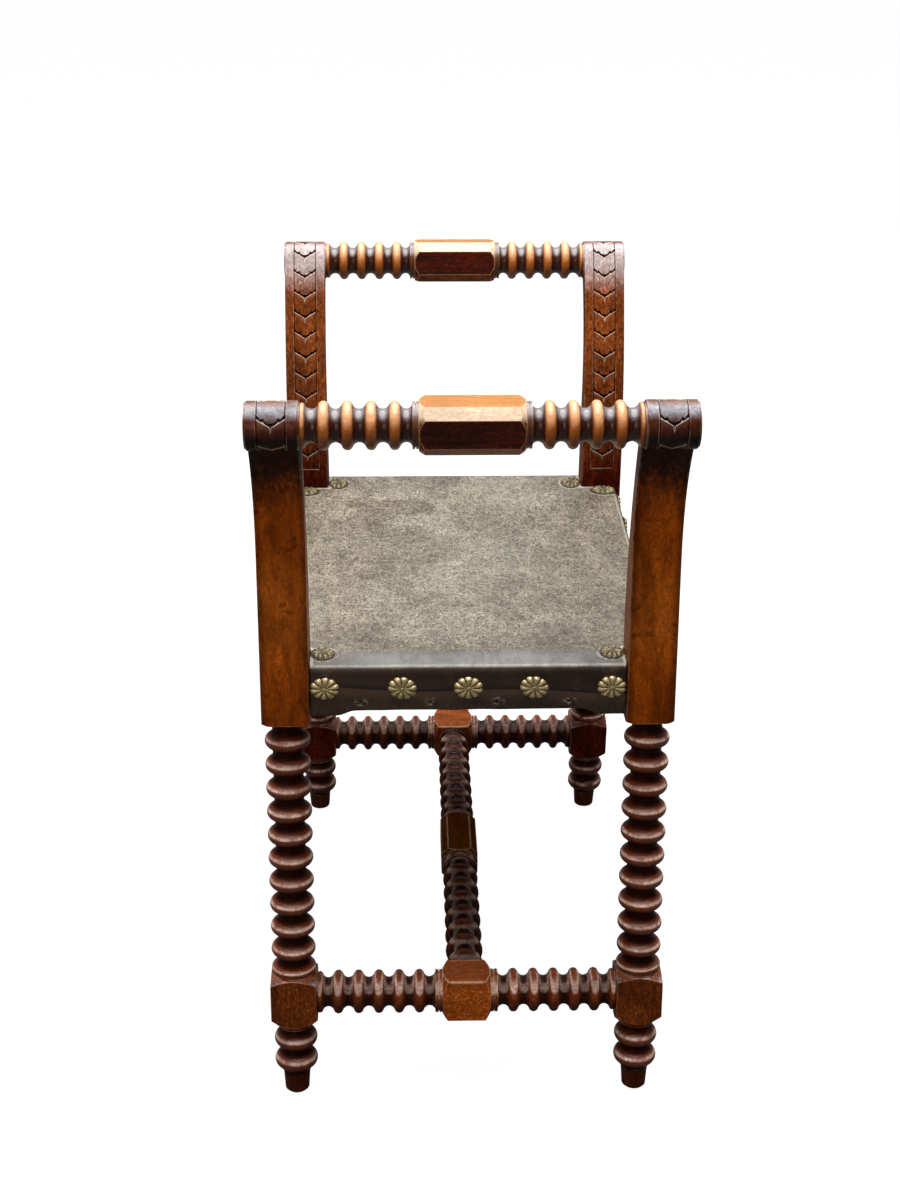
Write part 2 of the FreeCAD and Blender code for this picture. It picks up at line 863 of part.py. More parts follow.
def rosette_nails():
    far = loose([rosette(at, inward, V(1, 0, 0)) for at, inward in end_rosette_places()])
    right = loose([rosette(at, inward, V(0, 1, 0)) for at, inward in side_rosette_places()])
    turns = (V(0, 1, 0), V(1, 0, 0))
    corner = [rosette(at, inward, turn) for (at, inward), turn in zip(corner_places(), turns)]
    return {
        "rosette_nails_far": far,
        "rosette_nails_near": mirrored_y(far),
        "rosette_nails_right": right,
        "rosette_nails_left": mirrored_x(right),
        "rosette_nails_corners": loose([one for nail in corner for one in quadrants(nail)]),
    }


def tacks(places, head_radius, head, radius, length):
    return loose([tack(at, inward, head_radius, head, radius, length) for at, inward in places])


def hem_tacks():
    sizes = (hem_tack_head_radius, hem_tack_head, hem_tack_shank_radius, hem_tack_length)
    far = tacks(end_hem_places(), *sizes)
    right = tacks(side_hem_places(), *sizes)
    return {
        "hem_tacks_far": far,
        "hem_tacks_near": mirrored_y(far),
        "hem_tacks_right": right,
        "hem_tacks_left": mirrored_x(right),
    }


def webbing_tacks():
    sizes = (strap_tack_head_radius, strap_tack_head, strap_tack_shank_radius, strap_tack_length)
    far = tacks(end_strap_places(), *sizes)
    right = tacks(side_strap_places(), *sizes)
    return {
        "webbing_tacks_far": far,
        "webbing_tacks_near": mirrored_y(far),
        "webbing_tacks_right": right,
        "webbing_tacks_left": mirrored_x(right),
    }


# Webbing

def strap_outline(end, inner, rail_top, level):
    """Half a strap's lower line: over the rail, down the slope, along the level."""
    return [(end, rail_top), (inner, rail_top), (inner - strap_slope, level), (0, level)]


def strap_section(end, inner, rail_top, level):
    half = strap_outline(end, inner, rail_top, level - strap_thickness)
    lower = half + [(-place, height) for place, height in reversed(half[:-1])]
    upper = [(place, height + strap_thickness) for place, height in lower]
    return lower + upper[::-1]


def webbing():
    inner = reach(end_rail_inner, end_rail_top())
    section = strap_section(inner + strap_lap, inner, end_rail_top(), strap_level)
    holes = loose(strap_tack_holes(end_strap_places()))
    holes = loose([holes, mirrored_y(holes)])
    straps = {}
    for index, x in enumerate(long_strap_spots(), 1):
        strap = across(section, x - strap_width / 2, x + strap_width / 2)
        straps["webbing_long_%d" % index] = strap.cut(holes)
    level = strap_level - strap_thickness - strap_clearance
    section = strap_section(side_rail_inner + strap_lap, side_rail_inner, side_rail_top, level)
    holes = loose(strap_tack_holes(side_strap_places()))
    holes = loose([holes, mirrored_x(holes)])
    for index, y in enumerate(cross_strap_spots(), 1):
        strap = along(section, y - strap_width / 2, y + strap_width / 2)
        straps["webbing_cross_%d" % index] = strap.cut(holes)
    return straps


# Leather

def leather_inward(y):
    """The direction straight down into the seat's surface."""
    return V(0, y, leather_top(y) - leather_top(0) - sag_radius()).normalize()


def below_surface(skin, low):
    """Everything from a height up to the seat's surface, or to the underside of its skin."""
    end = reach(apron_offset, seat_height) + overrun
    radius = sag_radius() + skin
    centre = leather_top(0) + sag_radius()
    rise = centre - math.sqrt(radius ** 2 - end ** 2)
    corners = [V(-side_apron_x, y, z) for y, z in ((end, rise), (end, low), (-end, low), (-end, rise))]
    lowest = V(-side_apron_x, 0, centre - radius)
    edges = [Part.makeLine(*pair) for pair in zip(corners, corners[1:])]
    edges.append(Part.Arc(corners[-1], lowest, corners[0]).toShape())
    return Part.Face(Part.Wire(edges)).extrude(V(2 * side_apron_x, 0, 0))


def cover_body(inside):
    """The leather's outer form, or with inside set what it is hollowed by."""
    skin = leather_thickness if inside else 0
    low = apron_bottom - (overrun if inside else 0)
    high = seat_height + overrun
    outer = leaning_outline(apron_offset - skin, apron_offset - skin, low, high)
    ends = [outer[0], outer[2], (-outer[2][0], outer[2][1]), (-outer[0][0], outer[0][1])]
    clear_x = rail_inner_face - leather_clearance
    sides = leaning_outline(-post_half - leather_clearance, -post_half - leather_clearance, low, high)
    flank = [sides[0], sides[2], (-sides[2][0], sides[2][1]), (-sides[0][0], sides[0][1])]
    wide = side_apron_x - skin
    plan = joined([across(ends, -clear_x, clear_x), across(flank, -wide, wide)])
    return plan.common(below_surface(skin, low))


def fold_edges(solid):
    """The long upper edges along the four hanging sides."""
    chosen = []
    for edge in solid.Edges:
        bounds = edge.BoundBox
        high = bounds.ZMin > seat_height - seat_sag - leather_thickness - leather_fold
        end = bounds.XLength > post_x and abs(bounds.Center.y) > reach(0, seat_height)
        side = bounds.YLength > post_x and abs(bounds.Center.x) > post_x
        if high and (end or side):
            chosen.append(edge)
    return chosen


def leather_cover():
    outer = cover_body(False)
    outer = outer.makeFillet(leather_fold, fold_edges(outer))
    inner = cover_body(True)
    inner = inner.makeFillet(leather_fold - leather_thickness, fold_edges(inner))
    cover = outer.cut(inner)
    ends = end_apron_holes()
    sides = side_apron_holes()
    holes = ends + [mirrored_y(hole) for hole in ends] + sides + [mirrored_x(hole) for hole in sides]
    for hole in rosette_holes(corner_places()):
        holes += quadrants(hole)
    return {"leather_cover": cover.cut(loose(holes))}


def stool():
    nodes = {}
    for part in (posts, top_rails, cross_stretchers, long_stretcher, seat_rails, webbing,
                 webbing_tacks, leather_cover, rosette_nails, hem_tacks):
        nodes.update(part())
    return nodes


os.makedirs("parts", exist_ok=True)
for name, shape in stool().items():
    shape.exportStep("parts/%s.step" % name)
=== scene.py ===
"""Looks of the ring-turned armed stool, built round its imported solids.

Shapes are worked out in millimetres in the frame of the solids, and become metres when a mesh
is made. X runs across the stool, Y along it, Z up.
"""
import bpy
import random
from math import asin, atan2, copysign, cos, hypot, pi, radians, sin, sqrt, tan
from mathutils import Matrix, Vector, noise

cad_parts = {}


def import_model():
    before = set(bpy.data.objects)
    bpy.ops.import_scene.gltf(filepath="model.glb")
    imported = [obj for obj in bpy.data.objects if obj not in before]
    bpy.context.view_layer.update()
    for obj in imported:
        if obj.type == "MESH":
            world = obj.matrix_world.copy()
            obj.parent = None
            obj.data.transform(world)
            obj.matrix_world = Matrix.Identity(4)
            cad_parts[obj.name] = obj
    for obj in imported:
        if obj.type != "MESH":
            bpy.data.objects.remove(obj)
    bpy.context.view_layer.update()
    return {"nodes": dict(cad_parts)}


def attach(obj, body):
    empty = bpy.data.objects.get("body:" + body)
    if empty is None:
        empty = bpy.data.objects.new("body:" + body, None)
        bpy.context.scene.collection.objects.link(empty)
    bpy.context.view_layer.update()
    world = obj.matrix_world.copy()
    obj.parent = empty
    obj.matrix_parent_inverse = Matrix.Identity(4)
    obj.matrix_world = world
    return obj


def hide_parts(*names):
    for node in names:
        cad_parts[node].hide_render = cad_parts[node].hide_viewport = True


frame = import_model()

mm = 0.001
tiny = 1e-6

# Sizes that the solids share
post_x = 157
post_half = 20.75
foot_reach = 260.8
foot_top = 20
rake = atan2(30.8, 360)
arm_bottom = 371.6
arm_sweep_start = 415
scroll_reach = 69.2
scroll_height = 647.9
scroll_radius = 19.75
channel_width = 23.6
channel_depth = 1.2
channel_start = 446
channel_end_turn = 80
rail_block = 42
rail_inner_face = 136.25
cross_height = 99.6
cross_block = 21.8
long_block = 38
seat_height = 424.5
seat_sag = 6.5
leather_thickness = 2.2
leather_clearance = 0.3
leather_fold = 6.5
apron_bottom = 385
apron_offset = 17.55
side_apron_x = 173.55
seat_rail_thickness = 26
strap_width = 50
strap_thickness = 1.4
strap_lap = 17
strap_slope = 26
rosette_radius = 13
rosette_narrow = 0.8
rosette_drop = 19.1
rosette_gap = 0.3
end_corner_inset = 27
side_corner_inset = 15
end_rosette_shares = (-1, -0.46, 0, 0.46, 1)
side_rosette_count = 7
head_gap = 0.15

# Names of the ends and sides, with the way each lies along Y or X
ends = (("far", 1), ("near", -1))
sides = (("right", 1), ("left", -1))

# Camera, found from the photograph. Its turns are yaw, pitch and roll in degrees.
camera_place = (-51.6, -1655.1, 1111.4)
camera_turns = (1.44, 23.84, 0.23)
camera_focal = 1843.7
picture_height = 1200
sensor = 36


def smooth(value, low, high):
    share = min(max((value - low) / (high - low), 0), 1)
    return share * share * (3 - 2 * share)


def between(first, second, share):
    return first + (second - first) * share


def reach(offset, height):
    """How far along the stool a face at this offset from a leg's axis lies at a height."""
    return foot_reach - height * tan(rake) + offset / cos(rake)


def leaned(x, y, z):
    """A point of a post's own frame, in the far right post."""
    return (post_x + x, foot_reach + y * cos(rake) - z * sin(rake),
            y * sin(rake) + z * cos(rake))


# Meshes

def make_object(name, data):
    made = bpy.data.objects.new(name, data)
    bpy.context.scene.collection.objects.link(made)
    return made


def make_piece(name, points, faces, material, slot):
    """A mesh piece from points in millimetres, riding on the one body."""
    mesh = bpy.data.meshes.new(name)
    mesh.from_pydata([Vector(point) * mm for point in points], [], faces)
    mesh.update()
    mesh.polygons.foreach_set("use_smooth", [True] * len(mesh.polygons))
    mesh.materials.append(material)
    piece = make_object(name, mesh)
    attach(piece, "root")
    return piece


def grid_faces(rows, columns, closed=False):
    """Quads over rows of points. A closed grid joins its last column to its first."""
    faces = []
    for row in range(rows - 1):
        for column in range(columns if closed else columns - 1):
            after = (column + 1) % columns
            low, high = row * columns, (row + 1) * columns
            faces.append((low + column, low + after, high + after, high + column))
    return faces


def mirrored(points, faces, way_x, way_y):
    """The same mesh in another quarter of the stool, with its faces still outwards."""
    if way_x * way_y < 0:
        faces = [face[::-1] for face in faces]
    return [(x * way_x, y * way_y, z) for x, y, z in points], faces


def keep_values(piece, name, values):
    """Stores one number with each point, for the material to read."""
    attribute = piece.data.attributes.new(name, "FLOAT", "POINT")
    attribute.data.foreach_set("value", values)


def thicken(piece, thickness, offset):
    """Gives a sheet its thickness and rounds it. Offset -1 adds it below, 0 on both sides."""
    solid = piece.modifiers.new("Solidify", "SOLIDIFY")
    solid.thickness = thickness * mm
    solid.offset = offset
    rounded = piece.modifiers.new("Subsurf", "SUBSURF")
    rounded.levels = 1
    rounded.render_levels = 1


def ripple(x, y, size, layer):
    """A gentle unevenness over the plan, from about -1 to 1. Each layer has its own."""
    return noise.noise(Vector((x / size, y / size, layer)))


# Materials

def colour(red, green, blue):
    """A colour as it looks on screen, from 0 to 255."""
    shares = [value / 255 for value in (red, green, blue)]
    linear = [s / 12.92 if s <= 0.04045 else ((s + 0.055) / 1.055) ** 2.4 for s in shares]
    return (*linear, 1)


class Value:
    """A node's output that can stand in a sum, beside numbers or other values."""

    def __init__(self, nodes, socket):
        self.nodes = nodes
        self.socket = socket

    def __add__(self, other):
        return self.nodes.math("ADD", self, other)

    def __radd__(self, other):
        return self.nodes.math("ADD", other, self)

    def __sub__(self, other):
        return self.nodes.math("SUBTRACT", self, other)

    def __rsub__(self, other):
        return self.nodes.math("SUBTRACT", other, self)

    def __mul__(self, other):
        return self.nodes.math("MULTIPLY", self, other)

    def __abs__(self):
        return self.nodes.math("ABSOLUTE", self)

    def step(self, low, high):
        """From 0 at low to 1 at high, with soft ends. Low may be the larger."""
        limits = {"Value": self, "From Min": min(low, high), "From Max": max(low, high)}
        made = self.nodes.node("MapRange", limits, interpolation_type="SMOOTHSTEP")
        return 1 - made if low > high else made

    def below(self, level, blur=1):
        """1 below a level and 0 above it, blurred over this much on either side."""
        return self.step(level + blur, level - blur)

    def lines(self, wide, narrow):
        """Thin lines where a noise passes its middle value."""
        return abs(self - 0.5).step(wide, narrow)


class Nodes:
    """Short ways to make the nodes of one tree. Inputs are numbers, colours or values."""

    def __init__(self, owner):
        owner.use_nodes = True
        self.tree = owner.node_tree

    def node(self, kind, inputs, output=0, **settings):
        """One output of a new node."""
        made = self.tree.nodes.new("ShaderNode" + kind)
        for name, value in settings.items():
            setattr(made, name, value)
        for key, value in inputs.items():
            self.put(made.inputs[key], value)
        return Value(self, made.outputs[output])

    def put(self, socket, value):
        if isinstance(value, Value):
            self.tree.links.new(value.socket, socket)
        else:
            socket.default_value = value

    def math(self, operation, first, second=0):
        return self.node("Math", {0: first, 1: second}, operation=operation)

    def dot(self, first, second):
        return self.node("VectorMath", {0: first, 1: second}, "Value", operation="DOT_PRODUCT")


class Shader(Nodes):
    """One material, with places on it in millimetres."""

    def __init__(self, name):
        self.material = bpy.data.materials.new(name)
        super().__init__(self.material)
        self.sockets = self.tree.nodes["Principled BSDF"].inputs
        self.place = self.node("TexCoord", {}, "Object")
        self.x, self.y, self.z = [self.node("SeparateXYZ", {0: self.place}, axis) * (1 / mm)
                                  for axis in range(3)]
        self.up = self.facing((0, 0, 1))

    def larger(self, first, second):
        return self.math("MAXIMUM", first, second)

    def hypot(self, first, second):
        return self.math("SQRT", first * first + second * second)

    def mix(self, share, low, high, blend="MIX"):
        return self.node("Mix", {0: share, 6: low, 7: high}, 2, data_type="RGBA", blend_type=blend)

    def laid(self, base, *coats):
        """A base colour with others laid over it in turn, each by its own share."""
        for share, coat in coats:
            base = self.mix(share, base, coat)
        return base

    def stretched(self, scale):
        return self.node("Mapping", {"Vector": self.place, "Scale": scale})

    def noise(self, scale, detail=3, roughness=0.55, distortion=0, stretch=None):
        place = self.stretched(stretch) if stretch else self.place
        return self.node("TexNoise", {"Vector": place, "Scale": scale, "Detail": detail,
                                      "Roughness": roughness, "Distortion": distortion})

    def bump(self, height, distance, strength):
        return self.node("Bump", {"Height": height, "Distance": distance, "Strength": strength})

    def facing(self, direction):
        """How much the surface faces a direction, from -1 to 1."""
        return self.dot(self.node("NewGeometry", {}, "Normal"), direction)

    def edges(self, radius):
        """From 0 on a flat to 1 on a sharp edge."""
        softened = self.node("Bevel", {"Radius": radius * mm}, samples=4)
        return self.facing(softened).step(0.995, 0.9)

    def kept(self, name):
        """A number kept with each point of a piece, or 0 where there is none."""
        return self.node("Attribute", {}, "Fac", attribute_name=name)

    def finish(self, base, roughness, **others):
        for name, value in {"Base Color": base, "Roughness": roughness, **others}.items():
            self.put(self.sockets[name.replace("_", " ")], value)
        return self.material


# Walnut

wood_orange = colour(166, 76, 10)
wood_dark = colour(52, 20, 5)
wood_black = colour(14, 6, 4)
wood_under_roll_shade = colour(34, 22, 18)
wood_red = colour(80, 22, 6)
wood_brown = colour(126, 62, 24)
wood_inner_sheen = colour(190, 178, 176)
wood_silver_sheen = colour(144, 139, 144)
wood_crown = colour(112, 82, 68)
wood_roll = colour(92, 44, 26)
wood_leg = colour(122, 56, 26)
wood_gleam = colour(236, 200, 182)
wood_foot = colour(84, 38, 18)
wood_joint = colour(116, 55, 18)
wood_neck = colour(34, 8, 2)
wood_worn = colour(228, 190, 160)
wood_crest = colour(222, 158, 108)
wood_amber = colour(182, 98, 32)
wood_cove = colour(56, 24, 14)
wood_facet = colour(156, 100, 42)
wood_pink_sheen = colour(216, 188, 158)
wood_sheen = colour(128, 120, 118)
wood_olive = colour(100, 52, 10)

grain_share = 0.05
mottle_share = 0.6
figure_share = 0.25
gentle = 0.5


def along_grain(axis, share):
    """Scales that stretch a pattern along one axis."""
    return tuple(share if index == axis else 1 for index in range(3))


def wood_figure(shader, axis):
    """Old varnished walnut as one number that darkens or lightens a colour: soft clouds, streaks
    along the grain, mottling, pores, small bright flecks and scratches. The streaks come with it."""
    clouds = shader.noise(45, 4, 0.6, 0.6, stretch=along_grain(axis, figure_share))
    streaks = shader.noise(420, 3, 0.6, stretch=along_grain(axis, grain_share))
    mottle = shader.noise(380, 4, 0.7, stretch=along_grain(axis, mottle_share))
    pores = shader.noise(1500, 2, 0.5, stretch=along_grain(axis, grain_share))
    cells = {"Vector": shader.stretched(along_grain(axis, mottle_share)), "Scale": 230}
    flecks = shader.node("TexVoronoi", cells, "Distance").step(0.24, 0.1)
    scratches = shader.noise(55, 2, 0.5, 1.5, stretch=(1, 0.3, 0.5))
    tone = 0.7 + clouds.step(0.32, 0.68) * 0.65
    tone *= 1 - streaks.step(0.5, 0.68) * 0.4
    tone *= 1.3 - mottle.step(0.38, 0.62) * 0.72
    tone *= 1 - pores.step(0.58, 0.68) * 0.45
    tone += flecks * clouds.step(0.42, 0.6) * 1.3
    scratch = scratches.lines(0.005, 0.0015) * mottle.step(0.45, 0.6)
    return tone * (1 - scratch * 0.6), streaks


def figured(shader, base, figure, share=1):
    return shader.mix(share, base, figure, "MULTIPLY")


def wood_finish(shader, base, streaks, roughness=0.36, shine=0.1, shimmer=0.2):
    """Old varnish: uneven gloss, small dents, and streaks that stand a little proud."""
    dents = shader.noise(260, 3, 0.6)
    gloss = shader.noise(60, 3, 0.6)
    relief = shader.bump(streaks * 0.3 + dents, 0.0006, 0.4)
    return shader.finish(base, gloss * 0.3 + (roughness - 0.15), Normal=relief, Coat_Weight=shine,
                         Coat_Roughness=0.2, Specular_IOR_Level=shimmer)


def looks_inward(shader, low, high):
    """How much a face looks toward the middle of the stool, as a step."""
    return (shader.facing((0, 1, 0)) * shader.math("SIGN", shader.y)).step(low, high)


def scroll_distance(shader):
    """Distance from the axis of the nearer scroll and top rail."""
    x, y, z = leaned(0, scroll_reach, scroll_height)
    return shader.hypot(abs(shader.y) - y, shader.z - z)


# Posts. A pair of sizes is where a colour starts and where it is full.

arm_edge_darkening = (post_half * 0.62, post_half)
arm_amber = (400, 465)
arm_amber_end = (560, 480)
arm_under_roll_shade = (562, 612)
arm_foot_darkening = (425, 385)
inner_brown = (430, 500)
inner_sheen_band = (626, 668)
brush_reach = 60
roll_face = (22, 19)
leg_crest = (12.5, 17.5)
leg_gleam = (15.5, 18.5)
leg_polish = (15, 18)
arm_blur = 2
joint_height = cross_height - 2
joint_end = (25, 22)
joint_face = (19.5, 20.5)
post_edge = 1.4


def arm_colour(shader, inner):
    """The sawn arm: amber at mid height, darker toward its side edges, with painted shade under the
    roll above. Its inner side is painted for light: painted shade in dark red low down, brown higher
    up, and a painted silvery sheen near the top. The uneven height and that sheen come with it."""
    brush = shader.noise(300, 3, 0.6, stretch=along_grain(2, 0.12)) * brush_reach
    height = shader.z + (brush - brush_reach / 2)
    warm = shader.z.step(*arm_amber) * shader.z.step(*arm_amber_end)
    beside = abs(abs(shader.x) - post_x)
    # The inner side is painted for light: painted shade in red low down, brown above, and a painted
    # silvery sheen near the top.
    inner_sheen = (shader.z + brush * 0.2).step(*inner_sheen_band)
    inside = shader.laid(wood_red, (height.step(*inner_brown), wood_brown),
                         (inner_sheen * 0.8, wood_inner_sheen))
    # Painted shade under the roll darkens the outer face near the top.
    base = shader.laid(wood_orange, (warm * 0.45, wood_amber),
                       (beside.step(*arm_edge_darkening) * 0.6, wood_dark), (inner, inside),
                       ((1 - inner) * height.step(*arm_under_roll_shade) * 0.95, wood_under_roll_shade))
    return base, height, inner_sheen


def roll_colour(shader):
    """The scroll's outer face, painted for light: painted shade in black underneath, a painted silvery
    sheen higher up, and a browner crown on top.
    """
    up = shader.up
    return shader.laid(wood_roll, (up.step(0.15, -0.45), wood_black),
                       (up.step(0.42, 0.75), wood_silver_sheen), (up.step(0.86, 0.98), wood_crown))


def leg_colour(shader, inner, radius, joint, streaks):
    """The turned leg: dark necks, crests with a painted gleam, a dark foot, and the square joint
    block.
    Painted shade darkens faces that look down or toward the middle of the stool, and a painted
    silvery highlight lies on the outer top of the joint block.
    """
    up = shader.up
    gleam = up.step(0.2, 0.45) * up.step(0.85, 0.5) * radius.step(*leg_gleam)
    lit = shader.noise(110).step(0.3, 0.6) - inner * 0.5
    shoulder_highlight = joint * (1 - inner) * up.step(0.1, 0.3) * streaks.step(0.4, 0.6)
    return shader.laid(wood_neck, (radius.step(*leg_crest), wood_leg),
                       (up.step(0.1, -0.6) * 0.8, wood_neck), (inner * 0.45, wood_neck),
                       (gleam * (0.3 + lit * 0.7), wood_gleam), (shader.z.below(foot_top), wood_foot),
                       (joint, shader.mix(inner, wood_joint, wood_red)), (shoulder_highlight, wood_silver_sheen))


def post_wood():
    shader = Shader("post_walnut")
    figure, streaks = wood_figure(shader, 2)
    # Faces that look toward the middle of the stool get painted shade and sheen of their own.
    inner = looks_inward(shader, 0.1, -0.5)
    outer = 1 - inner
    axis_y = foot_reach - shader.z * tan(rake)
    radius = shader.hypot(abs(shader.x) - post_x, abs(shader.y) - axis_y)
    leg = shader.z.below(arm_bottom, arm_blur)
    joint = abs(shader.z - joint_height).step(*joint_end) * radius.step(*joint_face)
    round_leg = leg * (1 - joint)
    base, height, inner_sheen = arm_colour(shader, inner)
    on_roll = scroll_distance(shader).step(*roll_face) * outer
    base = shader.laid(base, (on_roll, roll_colour(shader)),
                       (height.step(*arm_foot_darkening) * 0.35, wood_dark),
                       (leg, leg_colour(shader, inner, radius, joint, streaks)))
    plain = outer * gentle * (1 - leg)
    calm = inner_sheen * inner * gentle + round_leg * gentle
    base = figured(shader, base, figure, 1 - (calm + plain))
    broad = shader.noise(60, 3, 0.5, 0.8, stretch=along_grain(2, 0.3))
    base = figured(shader, base, 0.72 + broad.step(0.36, 0.62) * 0.5, plain * 2)
    marks = shader.noise(85, 2, 0.5, 1, stretch=(0.6, 0.6, 1))
    rubbed = shader.edges(post_edge) * shader.noise(90).step(0.38, 0.6)
    # The carvings' kept values lay painted shade along each leaf's edge, and a worn line with a
    # painted highlight along each ridge.
    base = shader.laid(base, (marks.step(0.66, 0.72) * plain, wood_dark), (rubbed * 0.5, wood_worn),
                       (shader.kept("dark") * 0.96, wood_black),
                       (shader.kept("wear_and_highlight") * 0.8, wood_worn))
    coat = round_leg * radius.step(*leg_polish) * 0.5 + on_roll * 0.3
    return wood_finish(shader, base, streaks, shine=coat, shimmer=0.05)


# Top rails

rail_blur = 0.6
collar_side = (rail_block + 12, rail_block + 6)
rail_ring = (15.8, 19.6)
rail_ring_uneven = 1.6
rail_hollow = (18, 16)
rail_edge = 1.8


def rail_facets(shader, streaks):
    """The faceted grip, each facet coloured for the light it catches: a dark red front that is partly
    painted shade, a lighter brown below, and painted light on the facets that face up, pink where
    they slope and orange-brown on top.
    """
    up = shader.up
    return shader.laid(wood_red, (streaks.step(0.4, 0.7), wood_dark),
                       (up.step(-0.3, -0.6), wood_brown), (up.step(0.25, 0.5), wood_pink_sheen),
                       (up.step(0.8, 0.95), wood_facet))


def top_rail_wood():
    shader = Shader("top_rail_walnut")
    figure, streaks = wood_figure(shader, 0)
    radius = scroll_distance(shader)
    run, up = abs(shader.x), shader.up
    block = run.step(rail_block + rail_blur, rail_block)
    collar = run.step(*collar_side) * (1 - block)
    patches = shader.noise(160, 3, 0.6)
    # Painted light on the rings: crests paler where they face up and amber below, a painted sheen in
    # the hollows and collars where they face up, and painted shade on faces that look down.
    crest = shader.mix(up.step(0.55, 0.05), wood_crest, wood_amber)
    sheen = up.step(0.4, 0.75) * shader.larger(radius.step(*rail_hollow), collar)
    base = shader.laid(wood_cove, ((radius + patches * rail_ring_uneven).step(*rail_ring), crest),
                       (collar * 0.85, wood_cove), (sheen * 0.7, wood_sheen),
                       (up.step(0.1, -0.6) * 0.6, wood_dark), (block, rail_facets(shader, streaks)))
    base = figured(shader, base, figure, 0.3 + block * up.step(0.3, 0.1) * 0.6)
    rubbed = shader.edges(rail_edge) * patches.step(0.25, 0.45) * (0.9 - collar * 0.8)
    base = shader.mix(rubbed, base, wood_crest)
    return wood_finish(shader, base, streaks, 0.33, (1 - block) * 0.5)


# Stretchers. They run across the stool on axis 0 and along it on axis 1.

stretcher_ring = (13.5, 18)
stretcher_ring_uneven = 1.4
stretcher_gleam = (15, 17.5)
stretcher_edge = 1.6
block_edge = 2.8
block_rim = (-6, -8)
block_rim_height = (cross_height + 6, cross_height + 9)


def stretcher_rings(shader, radius, patches, speckle, inner, crest, gleam_start):
    """Dark hollows, crests with a painted gleam where they face up and forward, and painted shade on
    faces that look down or toward the middle of the stool.
    """
    uneven = radius + patches * stretcher_ring_uneven
    gleam = shader.up.step(gleam_start, gleam_start + 0.2) * shader.up.step(0.9, 0.7)
    gleam *= (0.25 + radius.step(*stretcher_gleam) * 0.35) * (1 - inner * 0.5)
    return shader.laid(wood_neck, (uneven.step(*stretcher_ring), crest), (speckle * 0.3, wood_brown),
                       (inner * 0.6, wood_neck), (gleam, wood_gleam),
                       (shader.up.step(0.2, -0.5) * 0.6, wood_neck))


def cross_block_colour(shader, speckle, inner):
    # Painted shade on the faces that look toward the middle of the stool.
    return shader.laid(wood_orange, (speckle * 0.35, wood_crest),
                       (shader.up.step(0.5, 0.9) * 0.35, wood_dark), (inner * 0.6, wood_dark))


def stretcher_wood(name, axis):
    shader = Shader(name)
    figure, streaks = wood_figure(shader, axis)
    patches = shader.noise(170, 3, 0.6)
    speckle = shader.noise(520, 2, 0.6).step(0.52, 0.66)
    if axis == 0:
        across, run = abs(shader.y) - reach(0, cross_height), abs(shader.x)
        half_block, crest, gleam_start, coat, shimmer = cross_block, wood_leg, 0.3, 0.15, 0.06
        inner = looks_inward(shader, 0, -0.4)
        block_wood = cross_block_colour(shader, speckle, inner)
    else:
        across, run = shader.x, abs(shader.y)
        half_block, crest, gleam_start, coat, shimmer = long_block, wood_roll, 0.5, 0.22, 0
        # All of the long stretcher gets some of the painted shade that inner faces get.
        inner = 0.4
        block_wood = wood_olive
    radius = shader.hypot(across, shader.z - cross_height)
    rings = stretcher_rings(shader, radius, patches, speckle, inner, crest, gleam_start)
    block = run.below(half_block)
    base = figured(shader, shader.mix(block, rings, block_wood), figure, 0.7)
    rubbed = shader.edges(stretcher_edge) * patches.step(0.3, 0.55)
    rubbed *= 0.2 + shader.up.step(0.1, 0.3) * 0.7
    rim = shader.edges(block_edge) * (run - half_block).step(*block_rim)
    rim *= shader.z.step(*block_rim_height)
    base = shader.mix(shader.larger(rubbed, rim), base, wood_worn)
    return wood_finish(shader, base, streaks, 0.42, (1 - block) * coat, shimmer)


def raw_wood():
    shader = Shader("raw_wood")
    figure, streaks = wood_figure(shader, 0)
    base = figured(shader, colour(160, 122, 80), figure, gentle)
    return wood_finish(shader, base, streaks, 0.7, 0)


# Hide. Its sides hang from the fold, and its corners are cut round the posts.

hide_dark = colour(34, 29, 22)
hide_brown = colour(66, 55, 40)
hide_grey = colour(72, 69, 60)
hide_red = colour(74, 56, 38)
hide_pale = colour(126, 116, 96)
hide_hair = colour(180, 169, 146)
hide_rim = colour(180, 172, 156)
hide_blue = colour(120, 118, 116)
side_dark = colour(40, 24, 12)
side_brown = colour(56, 36, 20)
side_pale = colour(112, 86, 64)

near_band = (-200, -224)
near_band_sheen = (150, 60)
red_band = (40, 130)
right_shade_band = (-30, 150)
far_sheen_band = (40, 180)
stain_spots = ((-62, 150, 34, 26), (-84, 138, 24, 34), (-100, 162, 22, 18))
crack_stretches = ((0.35, 1.2, 1), (0.8, 0.8, 1), (1.3, 0.5, 1))
hem_hairs = (398, 388)
end_flap = (side_apron_x, side_apron_x + 40)
crease_height = 404
crease_wave = 1.6
crease_pitch = 27
crease_slope = 0.018
crease_shade_line = (1.4, 0.4)
crease_highlight = (0.5, -1)
crease_highlight_end = (-14, -2)
old_holes = (-92, -33, 25, 87)
hole_rise = 8
hole_flatness = 1.6
hole_lip = (9, 5)
hole_dark = (4.2, 3)
hole_uneven = 3
notch_rim = (6.5, 4)
notch_uneven = 4
nail_dent = 1.22


class Hide:
    """The hide's own markings, from the broadest to the finest."""

    def __init__(self, shader):
        drawn = (1, 0.45, 1)
        self.clouds = shader.noise(9, 4, 0.6, 0.6)
        self.blotches = shader.noise(46, 5, 0.7, 0.3, stretch=drawn)
        self.veins = shader.noise(150, 5, 0.75, 1.2, stretch=drawn)
        self.hairs = shader.noise(240, 4, 0.7, 1.6, stretch=(0.7, 0.6, 1))
        self.hair = self.hairs.lines(0.03, 0.008)
        self.grain = shader.noise(560, 4, 0.85, stretch=drawn)


def spot_distance(shader, x, y, spot):
    """Distance from the middle of an oval spot, where 1 is its outline."""
    middle_x, middle_y, half_x, half_y = spot
    return shader.hypot((x - middle_x) * (1 / half_x), (y - middle_y) * (1 / half_y))


